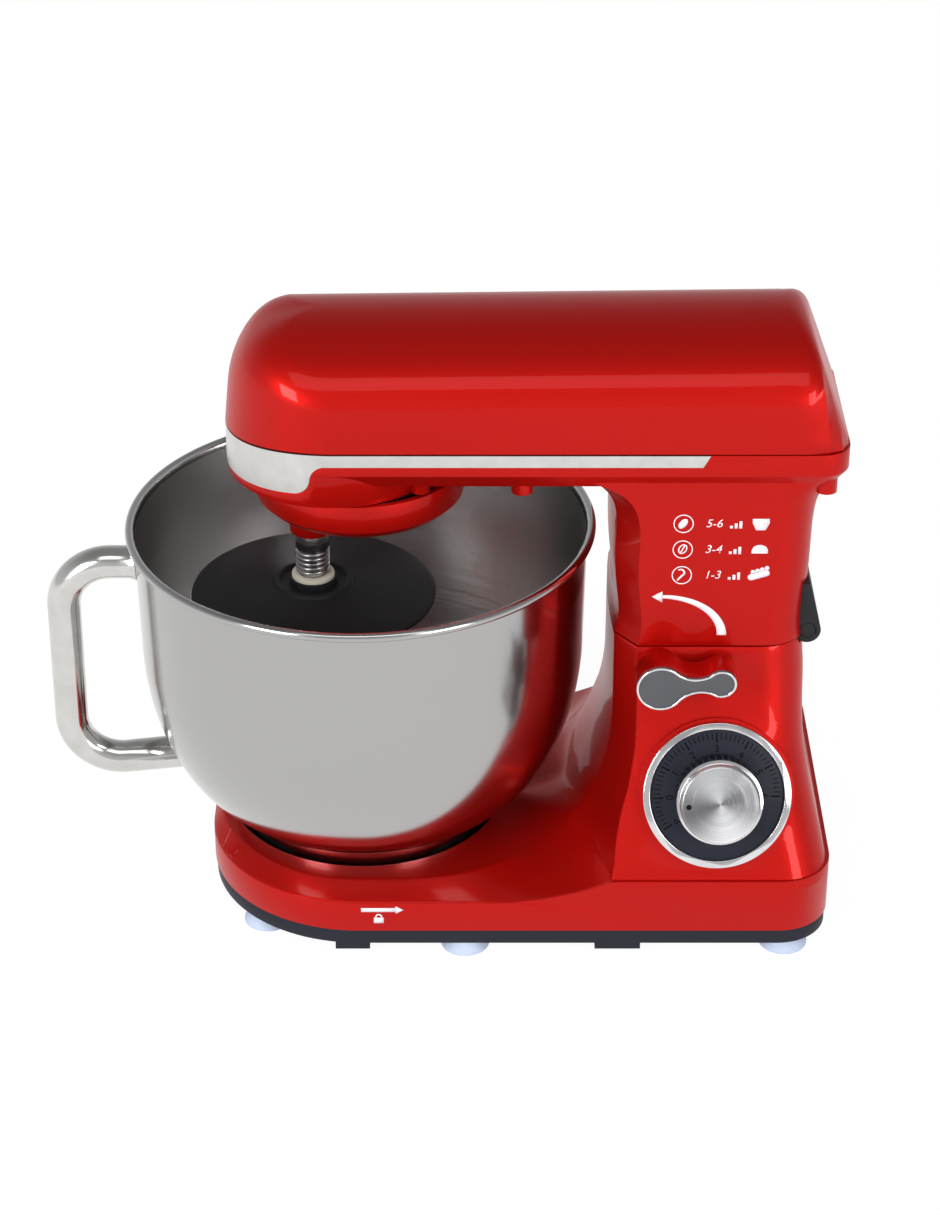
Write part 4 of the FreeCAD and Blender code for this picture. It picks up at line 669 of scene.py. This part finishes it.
TICKS = 50
TICK_GROUP = 7
TICK_STEP = math.radians(4.382)
TICK_START = math.radians(213.7)
TICK_R = 30.6
LONG_TICK = (4.4, 0.75)
SHORT_TICK = (3.0, 0.42)
FIGURE_R = 22.9
FIGURE_SIZE = 5.2
scale = flat_sheet()
for i in range(TICKS):
    angle = TICK_START - i * TICK_STEP
    reach, stroke = SHORT_TICK if i % TICK_GROUP else LONG_TICK
    middle = TICK_R - reach / 2
    bar(scale, middle * math.cos(angle), middle * math.sin(angle), reach, stroke, angle)
for i, figure in enumerate("P0123456"):
    angle = TICK_START - i * TICK_GROUP * TICK_STEP
    across, up = FIGURE_R * math.cos(angle), FIGURE_R * math.sin(angle)
    words(scale, figure, across, up, FIGURE_SIZE, angle - math.pi / 2)
dial_ink = ink("dial_ink", (0.003, 0.003, 0.004), 0.6)
printed("dial_scale", scale, on_dial(FACE_OUT + PRINT_LIFT), dial_ink, "stand")
coated(seat_plastic, "speed_switch")
coated(bright_steel, "switch_nut")

# Speed knob: a plated, finely fluted ring with a spun metal cap pressed into it.
# The cap's turning lines tilt its face to and fro, its fans of light are painted highlights and shade in its
# colour, and a dark dot marks the setting.


def spun(name, colour, roughness, centre, axis, spread, line_mm, lining_and_painted_light=None, painted_fan=None):
    """Metal turned on a lathe: fine lines round the axis tilt the surface to and fro.
    A lining_and_painted_light gives another roughness, spread and greatest height to the side that faces the
    axis, and a colour there that is painted light.
    A painted_fan gives a direction and the dull and bright colours of painted highlights and shade that turn
    with the angle round the axis."""
    finish = Finish(name, colour, metallic=1.0, roughness=roughness)

    def vector(operation, *values):
        output = 1 if operation in ("DOT_PRODUCT", "LENGTH") else 0
        return finish.node("ShaderNodeVectorMath", {"operation": operation}, dict(enumerate(values)), output)

    def scaled(way, by):
        return finish.node("ShaderNodeVectorMath", {"operation": "SCALE"}, {0: way, "Scale": by})

    arm = vector("SUBTRACT", finish.place(), tuple(centre))
    along = vector("DOT_PRODUCT", arm, tuple(axis))
    rise = scaled(tuple(axis), along)
    radial = vector("SUBTRACT", arm, rise)
    radius = vector("LENGTH", radial)
    rings = finish.node("ShaderNodeCombineXYZ", {}, {0: radius, 1: along, 2: 0.0})
    wander = vector("MULTIPLY", arm, (0.001, 0.001, 0.001))
    fine = {"Vector": vector("ADD", rings, wander), "Scale": 1.0 / (line_mm * MM), "Detail": 3.0}
    lines = finish.node("ShaderNodeTexNoise", {}, fine)
    round_way = vector("NORMALIZE", vector("CROSS_PRODUCT", tuple(axis), radial))
    normal = finish.node("ShaderNodeNewGeometry", {}, {}, "Normal")
    across = vector("CROSS_PRODUCT", normal, round_way)
    finish.shaded(lines)
    if lining_and_painted_light:
        rough, wide, height, painted_light_colour = lining_and_painted_light
        facing = vector("DOT_PRODUCT", normal, vector("NORMALIZE", radial))
        upward = vector("DOT_PRODUCT", normal, tuple(axis))
        hollow = (upward * 0.5 > facing) * (along < height)
        finish.feed("Roughness", hollow * (rough - roughness) + roughness)
        spread = hollow * (wide - spread) + spread
        # Painted light: the side that faces the axis gets its own colour, which stands in for light falling
        # there.
        finish.tint(hollow, colour, painted_light_colour)
    if painted_fan:
        way, dull, bright = painted_fan
        # Painted highlights and shade: the colour goes from dull to bright with the angle round the axis,
        # fixed to the surface.
        turn = vector("DOT_PRODUCT", vector("NORMALIZE", radial), tuple(way))
        finish.tint(turn * turn, dull, bright)
    lean = scaled(across, (lines - 0.5) * spread)
    finish.feed("Normal", vector("NORMALIZE", vector("ADD", normal, lean)))
    return finish


# The cap's fans of light are painted: its colour goes from dull to bright with the angle round it.
PAINTED_FAN_ANGLE = math.radians(108.0)
painted_fan_way = dial_right * math.cos(PAINTED_FAN_ANGLE) + dial_up * math.sin(PAINTED_FAN_ANGLE)
dressed("knob_body", chrome, 0.25, BODY_CORNER)
spun_cap_painted_fans = spun("spun_cap_painted_fans", (0.66, 0.66, 0.68), 0.22, dial_centre, dial_out, 0.9, 0.05,
                painted_fan=(painted_fan_way, (0.24, 0.24, 0.25), (0.90, 0.90, 0.91)))
dressed("knob_cap", spun_cap_painted_fans, 0.3)
cap_front = max((v.co - dial_centre).dot(dial_out) for v in frame["nodes"]["knob_cap"].data.vertices) / MM
DOT_ANGLE = math.radians(185.0)
DOT_OUT = 15.2
DOT_R = 1.3
dot = flat_sheet()
disc(dot, DOT_OUT * math.cos(DOT_ANGLE), DOT_OUT * math.sin(DOT_ANGLE), DOT_R)
printed("knob_dot", dot, on_dial(cap_front + PRINT_T * 0.4), dial_ink, "speed_knob")
coated(bright_steel, "knob_shaft")

# Tilt lever: a red moulding of two round lobes on a waist, on a steel shaft with the latch hook.
# A grey face plate with a bright rim is pressed into its front.
dressed("lever_body", red_paint, 0.6)
lever_grey = moulded("lever_grey", (0.090, 0.092, 0.100), 0.38, 0.3)
dressed("lever_face", lever_grey, 0.3)
RIM_WIDTH = 1.1
RIM_RISE = 0.5
RIM_EDGE = 0.3
FRONT_FACING = -0.9
rim = bmesh.new()
rim.from_mesh(frame["nodes"]["lever_face"].data)
bmesh.ops.remove_doubles(rim, verts=rim.verts, dist=WELD)
bmesh.ops.delete(rim, geom=[f for f in rim.faces if f.normal.y > FRONT_FACING], context="FACES")
bmesh.ops.dissolve_limit(rim, angle_limit=0.02, verts=rim.verts, edges=rim.edges)
plate = rim.faces[:]
bmesh.ops.inset_region(rim, faces=plate, thickness=RIM_WIDTH * MM, use_boundary=True, use_even_offset=True)
bmesh.ops.delete(rim, geom=plate, context="FACES")
raised = bmesh.ops.extrude_face_region(rim, geom=rim.faces[:])["geom"]
crest = [v for v in raised if isinstance(v, bmesh.types.BMVert)]
bmesh.ops.translate(rim, vec=(0, -RIM_RISE * MM, 0), verts=crest)
bmesh.ops.recalc_face_normals(rim, faces=rim.faces)
softened(rim, bent(rim, 1.0), RIM_EDGE, 2)
shown("lever_rim", settled("lever_rim", rim), chrome, "tilt_lever")
coated(bright_steel, "lever_shaft", "latch_hook")
coated(seat_plastic, "lever_bush")

# Hinge: an iron bracket bolted to the back of the column, with a dark pin that the head turns on.
# A moulded cover hides it, and rubber pads on the column take the head's weight.
lacquered_iron = machined("lacquered_iron", (0.12, 0.12, 0.13), 0.42)
coated(lacquered_iron, "hinge_bracket")
dressed("hinge_pin", seat_plastic, 0.4)
coated(gland_rubber, "rest_pads")
dressed("hinge_cover", seat_plastic, 0.8)

# Head, lower housing: the neck, the underside and the nose drum in one painted metal body.
# The side of the neck carries a printed table of steps and an arrow that shows how the head lifts.
dressed("head_lower_housing", red_paint, 1.2, BODY_CORNER, 3)
dressed("head_screws", bright_steel, 0.2)
table = flat_sheet()
TOOL_X = 154.0
FIGURES_X = 168.4
BARS_X = 176.6
FOOD_X = 190.5
WHISK_Z, BEATER_Z, HOOK_Z = 220.0, 206.5, 193.0
TOOL_R = 4.8
TABLE_SIZE = 6.0
SLANT = 0.25
BAR_W = 1.4
BAR_STEP = 2.2
BAR_GROWTH = 1.2
for height, figures in ((WHISK_Z, "5-6"), (BEATER_Z, "3-4"), (HOOK_Z, "1-3")):
    hoop(table, TOOL_X, height, TOOL_R, 0.5)
    words(table, figures, FIGURES_X, height, TABLE_SIZE, 0.0, SLANT)
    for step in range(3):
        tall = BAR_W + BAR_GROWTH * step
        bar(table, BARS_X + BAR_STEP * step, height - 1.7 + BAR_GROWTH / 2 * step, BAR_W, tall)


def straight(x0, z0, x1, z1):
    """A straight line for a strip, from one point to the other."""
    return lambda share: Vector((x0 + (x1 - x0) * share, z0 + (z1 - z0) * share, 0))


def bulb(widest, power):
    """The width of a strip that is round at both ends; a higher power makes it blunter."""
    return lambda share: widest * (1.0 - min(1.0, abs(2 * share - 1)) ** power) ** 0.5


swoosh(table, straight(TOOL_X - 2.0, WHISK_Z - 2.4, TOOL_X + 1.6, WHISK_Z + 2.4), bulb(3.4, 2.0), 14)
hoop(table, TOOL_X, BEATER_Z + 0.2, 2.7, 0.6, 0.75, math.radians(60.0))
swoosh(table, straight(TOOL_X - 1.0, BEATER_Z - 1.7, TOOL_X + 1.0, BEATER_Z + 2.1), lambda share: 0.6, 2)
swoosh(table, straight(TOOL_X - 2.2, HOOK_Z - 2.8, TOOL_X + 0.9, HOOK_Z + 0.6), lambda share: 0.9, 2)
HOOK_R = 1.7


def hook_line(share):
    """The bent end of the small hook."""
    angle = math.radians(-40.0 + 170.0 * share)
    return Vector((TOOL_X - 0.6 + HOOK_R * math.cos(angle), HOOK_Z + 1.3 + HOOK_R * math.sin(angle), 0))


def cup_width(share):
    """A tapered cup, straight above its middle."""
    return 4.4 + 3.6 * min(1.0, 1.6 * share)


def loaf_width(share):
    """A low dome."""
    return 7.8 * (1.0 - 0.96 * share ** 3) ** 0.5


swoosh(table, hook_line, lambda share: 1.1 - 0.5 * share, 14)
swoosh(table, straight(FOOD_X, WHISK_Z - 3.4, FOOD_X, WHISK_Z + 2.6), cup_width, 8)
swoosh(table, straight(FOOD_X, BEATER_Z - 2.1, FOOD_X, BEATER_Z + 2.4), loaf_width, 10)
swoosh(table, straight(FOOD_X - 5.2, HOOK_Z - 1.6, FOOD_X + 5.2, HOOK_Z + 1.6), bulb(3.4, 8.0), 22)
BUN_R = 1.1
for bun in range(4):
    disc(table, FOOD_X - 2.8 + 2 * BUN_R * bun, HOOK_Z + 1.6 + 0.7 * bun, BUN_R, 16)
LIFT_X, LIFT_Z = 145.0, 161.0
LIFT_W, LIFT_H = 29.0, 20.5
LIFT_HEAD_R = 3.4


def lift_line(share):
    """A quarter turn, from the foot of the neck up and forwards."""
    angle = math.pi / 2 * share
    return Vector((LIFT_X + LIFT_W * math.cos(angle), LIFT_Z + LIFT_H * math.sin(angle), 0))


swoosh(table, lift_line, lambda share: 4.6 - 2.9 * share, 28)
disc(table, LIFT_X - 1.6, LIFT_Z + LIFT_H, LIFT_HEAD_R, 3, math.pi / 2)
printed("neck_table", table, onto_side("head_lower_housing"), white_ink, "head")

# Trim band: a bright anodised strip let into the parting line between the head's two shells.
# It widens into a wrap round the nose and ends in a slanted cut before the neck.
satin_band = machined("satin_band", (0.66, 0.65, 0.63), 0.3, 0.15)
band_skin = dressed("trim_band", satin_band)
even_light = band_skin.modifiers.new("even_light", "WEIGHTED_NORMAL")
even_light.keep_sharp = True

# Head, top cover: one pressed metal shell, painted red, which closes over the motor and gears.
# Its sides stand upright, turn over a tight shoulder into a shallow arch and swell into a full round nose.
NOSE_TIP = -63.5
NOSE_X = -11.5
TAIL_X = 179.5
HALF_W = 52.0
PARTING = 257.0
CROWN_TOP = 309.1
CROWN_SLOPE = 0.012
ARCH_R = 66.0
REAR_LEAN = 0.37
NOSE_LEAN = 0.10
SIDE_LEAN = 0.015
REAR_SQUARE = 8.0


def roof(x, y):
    """The height of the shallow arch over a point."""
    return CROWN_TOP + CROWN_SLOPE * (x - NOSE_TIP) - (ARCH_R - math.sqrt(ARCH_R ** 2 - y * y))


REAR_RIBS = 14
SIDE_RIBS = 26
NOSE_RIBS = 56
RIBS = 2 * REAR_RIBS + 2 * SIDE_RIBS + NOSE_RIBS


def rib_foot(rib):
    """Where a rib starts on the spine, and which way it runs."""
    if rib > RIBS / 2:
        x, turn = rib_foot(RIBS - rib)
        return x, -turn
    if rib <= REAR_RIBS:
        return TAIL_X, math.pi / 2 * rib / REAR_RIBS
    if rib <= REAR_RIBS + SIDE_RIBS:
        share = (rib - REAR_RIBS) / SIDE_RIBS
        return TAIL_X + (NOSE_X - TAIL_X) * share, math.pi / 2
    return NOSE_X, math.pi / 2 + math.pi * (rib - REAR_RIBS - SIDE_RIBS) / NOSE_RIBS


def rib_reach(x, turn, z):
    """How far the wall stands from the spine along a rib at height z."""
    up = z - PARTING
    ahead = math.cos(turn)
    side = HALF_W - SIDE_LEAN * up
    if ahead > 1e-6:
        rear = TAIL_X + HALF_W - REAR_LEAN * up - x
        square = (ahead / rear) ** REAR_SQUARE + (abs(math.sin(turn)) / side) ** REAR_SQUARE
        return square ** (-1 / REAR_SQUARE)
    return side - (NOSE_LEAN - SIDE_LEAN) * up * ahead * ahead


WALL_ROWS = 6
ROUND_ROWS = 12
ROOF_ROWS = 10
CROWN_ROWS = WALL_ROWS + ROUND_ROWS + ROOF_ROWS
SHOULDER_DROP, NOSE_DROP, TAIL_DROP = 7.0, 30.0, 2.0
SHOULDER_REACH, NOSE_REACH, TAIL_REACH = 8.0, 33.0, 2.0
DIP_X = NOSE_X - 6.0
DIP = 5.0
FOOT_GAP = 0.15
HEM = 0.6
HEM_IN = 0.5
CROWN_WALL = 2.4


def rib_point(rib, row):
    """A point of the crown: up the wall, round the shoulder, then over the roof to the spine."""
    x, turn = rib_foot(rib % RIBS)
    ahead, aside = math.cos(turn), math.sin(turn)

    def at(reach, z):
        return spot(x + reach * ahead, reach * aside, z)

    reach, top = HALF_W, CROWN_TOP
    for settle in range(12):
        top = roof(x + reach * ahead, reach * aside)
        reach = rib_reach(x, turn, top)
    nose = max(0.0, -ahead) ** 3
    tail = max(0.0, ahead)
    below = SHOULDER_DROP + NOSE_DROP * nose + TAIL_DROP * tail
    inside = SHOULDER_REACH + NOSE_REACH * nose + TAIL_REACH * tail
    dip = max(0.0, (DIP_X - x - HALF_W * ahead) / (DIP_X - NOSE_TIP))
    foot = PARTING + FOOT_GAP - DIP * dip * dip
    if row == 0:
        return at(rib_reach(x, turn, foot) - HEM_IN, foot)
    if row <= WALL_ROWS:
        z = foot + HEM + (top - below - foot - HEM) * (row - 1) / (WALL_ROWS - 1)
        return at(rib_reach(x, turn, z), z)
    if row <= WALL_ROWS + ROUND_ROWS:
        t = (row - WALL_ROWS) / ROUND_ROWS
        start = (rib_reach(x, turn, top - below), top - below)
        end = (reach - inside, roof(x + (reach - inside) * ahead, (reach - inside) * aside))
        bends = zip(start, (reach, top), end)
        return at(*[(1 - t) ** 2 * a + 2 * t * (1 - t) * b + t * t * c for a, b, c in bends])
    share = 1 - (row - WALL_ROWS - ROUND_ROWS) / ROOF_ROWS
    near = (reach - inside) * share
    return at(near, roof(x + near * ahead, near * aside))


crown = draped(RIBS, CROWN_ROWS, rib_point)
skinned("head_top_cover_skin", crown, red_paint, "head", CROWN_WALL, "head_top_cover")

# Drive: a motor in the head turns a toothed belt, a countershaft and a nylon main gear.
# Steel shafts run in bronze bushes, and the motor hangs in cast brackets.
gear_nylon = moulded("gear_nylon", (0.78, 0.76, 0.70), 0.4, 0.8)
coated(gear_nylon, "main_gear", "belt_pulley")
sintered_bronze = machined("sintered_bronze", (0.45, 0.28, 0.12), 0.36)
coated(sintered_bronze, "bearing_bushes", "commutator", "spindle_bush")
coated(bright_steel, "ring_gear", "gear_plate", "latch_striker", "main_shaft", "counter_shaft",
       "counter_pinion", "motor_shaft", "motor_pulley", "planet_pinion", "cross_pin")
coated(lacquered_iron, "motor_stator", "rotor_core")
cast_metal = machined("cast_metal", (0.60, 0.60, 0.61), 0.34, 0.3)
coated(cast_metal, "motor_brackets")
coated(seat_plastic, "carbon_brushes", "cooling_fan")
coated(gland_rubber, "drive_belt")

# Planetary cup and tool spindle: a red painted cup that carries the spindle round the bowl's axis.
# The bright spindle takes the tool on a cross pin, held down by a coil spring.
dressed("planetary_cup", red_paint, 0.8)
dressed("tool_spindle", chrome, 0.3)
spring_top = spot(-24.0, 0.0, 181.0)
spring_piece = dressed("tool_spring", bright_steel)
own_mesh(spring_piece)

# Dough hook: a cast aluminium hook in a dark collar, with a flat shield that keeps dough out of the drive.
# A cream nylon washer under the spring takes the wear.
dressed("dough_shield", seat_plastic, 0.5)
dressed("hook_collar", seat_plastic, 0.4)
cream_nylon = moulded("cream_nylon", (0.78, 0.74, 0.62), 0.4, 0.5)
dressed("spring_washer", cream_nylon, 0.3)
dressed("dough_hook", cast_metal, 0.4)

# Bowl: drawn from one sheet of stainless steel, polished outside and spun inside, with a rolled rim.
# A round tubular handle is welded to its front, and a ring under it locks into the seat.
RIM_R = 115.0
RIM_Z = 197.0
BEAD_R = 2.2
SHEET_T = 0.9
WALL_R = 111.0
TURN_R = 109.7
TURN_Z = 134.5
FLAT_R = 55.0
FLAT_Z = 43.5
bowl_axis = spot(0.0, 0.0, 0.0)
# Painted light: the inside of the bowl is given a lighter colour than the outside, though it is one sheet.
bowl_steel = spun("bowl_steel", (0.44, 0.436, 0.43), 0.16, bowl_axis, (0, 0, 1), 0.0, 0.12,
                  (0.24, 0.6, (RIM_Z - 2 * BEAD_R) * MM, (0.74, 0.73, 0.72)))


TURN_ROWS = 28
BEAD_ROWS = 14
BEAD_FROM, BEAD_TURN = -80.0, 250.0
BOWL_STEPS = 160


def bowl_wall(inset):
    """The drawn sheet from the middle of the bottom up to the bead, as radius and height."""
    line = [(0.0, FLAT_Z + inset)]
    for row in range(TURN_ROWS + 1):
        angle = math.pi / 2 * row / TURN_ROWS
        line.append((FLAT_R + (TURN_R - inset - FLAT_R) * math.sin(angle),
                     TURN_Z - (TURN_Z - FLAT_Z - inset) * math.cos(angle)))
    return line + [(WALL_R - inset, RIM_Z - 2 * BEAD_R)]


bead = []
for row in range(BEAD_ROWS + 1):
    angle = math.radians(BEAD_FROM + BEAD_TURN * row / BEAD_ROWS)
    bead.append((RIM_R - BEAD_R + BEAD_R * math.cos(angle), RIM_Z - BEAD_R + BEAD_R * math.sin(angle)))
bowl = bmesh.new()
chain = [bowl.verts.new(spot(r, 0.0, z)) for r, z in bowl_wall(0.0) + bead + bowl_wall(SHEET_T)[::-1]]
for a, b in zip(chain, chain[1:]):
    bowl.edges.new((a, b))
bmesh.ops.spin(bowl, geom=bowl.verts[:] + bowl.edges[:], cent=bowl_axis, axis=(0, 0, 1), angle=2 * math.pi,
               steps=BOWL_STEPS, use_merge=True)
bmesh.ops.remove_doubles(bowl, verts=bowl.verts, dist=WELD)
bmesh.ops.dissolve_degenerate(bowl, edges=bowl.edges, dist=WELD)
bmesh.ops.recalc_face_normals(bowl, faces=bowl.faces)
shown("bowl_shell_skin", settled("bowl_shell_skin", bowl), bowl_steel, "bowl", "bowl_shell")
dressed("bowl_foot_ring", bowl_steel, 0.3)
tube_steel = polished("tube_steel", (0.64, 0.63, 0.61), 0.14)
dressed("bowl_handle", tube_steel)

# Floor, light and camera: a plain white paper floor that shows white and keeps the object's shadow.
# Three soft panels and a pale room light the object, seen from the photographed viewpoint.
FLOOR_HALF = 6.0
FLOOR_SHOWN = 0.85
WHITE = (1.0, 1.0, 1.0, 1.0)
paper_sheet = bmesh.new()
bmesh.ops.create_grid(paper_sheet, x_segments=1, y_segments=1, size=FLOOR_HALF)
floor_mesh = settled("floor", paper_sheet)
floor = bpy.data.objects.new("floor", floor_mesh)
bpy.context.scene.collection.objects.link(floor)
floor_paper = Finish("floor_paper", (0.84, 0.84, 0.84), roughness=0.9)
seen, mirrored, refracted = (floor_paper.node("ShaderNodeLightPath", {}, {}, ray)
                             for ray in ("Is Camera Ray", "Is Glossy Ray", "Is Transmission Ray"))
glow = floor_paper.node("ShaderNodeEmission", {}, {"Color": WHITE, "Strength": 1.1})
paper = Flow(floor_paper.tree, floor_paper.shader.outputs[0])
shares = {0: (seen | mirrored | refracted) * FLOOR_SHOWN, 1: paper, 2: glow}
floor_paper.surface("Material Output", floor_paper.node("ShaderNodeMixShader", {}, shares))
floor_mesh.materials.append(floor_paper.material)

world = bpy.data.worlds.new("studio")
bpy.context.scene.world = world
world.use_nodes = True
sky = Nodes(world.node_tree)
toward = sky.node("ShaderNodeTexCoord", {}, {}, "Generated")
upward = sky.node("ShaderNodeSeparateXYZ", {}, {0: toward}, "Z")
fade = {"Value": upward, "From Min": 0.05, "From Max": 0.9, "To Min": 0.7, "To Max": 0.3}
ceiling = sky.node("ShaderNodeMapRange", {"interpolation_type": "SMOOTHSTEP"}, fade, "Result")
room = sky.node("ShaderNodeBackground", {}, {"Color": (0.92, 0.93, 0.95, 1.0), "Strength": ceiling})
backdrop = sky.node("ShaderNodeBackground", {}, {"Color": WHITE, "Strength": 1.0})
in_view = sky.node("ShaderNodeLightPath", {}, {}, "Is Camera Ray")
sky.surface("World Output", sky.node("ShaderNodeMixShader", {}, {0: in_view, 1: room, 2: backdrop}))


def panel(name, place, aim, width, height, power):
    """A soft light of the given size and power, turned to what it lights."""
    light = bpy.data.lights.new(name, "AREA")
    light.shape = "RECTANGLE"
    light.size = width
    light.size_y = height
    light.energy = power
    lamp = bpy.data.objects.new(name, light)
    bpy.context.scene.collection.objects.link(lamp)
    lamp.location = place
    lamp.rotation_mode = "QUATERNION"
    lamp.rotation_quaternion = (Vector(aim) - Vector(place)).to_track_quat("-Z", "Y")


middle = (0.0, 0.0, 0.16)
panel("key_panel", (-1.3, -1.5, 0.8), middle, 0.7, 1.0, 26.0)
panel("fill_panel", (1.2, -1.5, 0.7), middle, 0.7, 1.0, 16.0)
panel("top_panel", (0.0, -1.1, 1.8), middle, 1.6, 0.7, 7.0)

lens = bpy.data.cameras.new("photo_view")
lens.sensor_width = 36.0
lens.lens = 90.22
lens.clip_end = 50.0
camera = bpy.data.objects.new("photo_view", lens)
bpy.context.scene.collection.objects.link(camera)
camera.location = spot(53.4, -1311.9, 901.5)
camera.rotation_euler = (math.radians(60.06), 0.0, 0.0)
bpy.context.scene.camera = camera
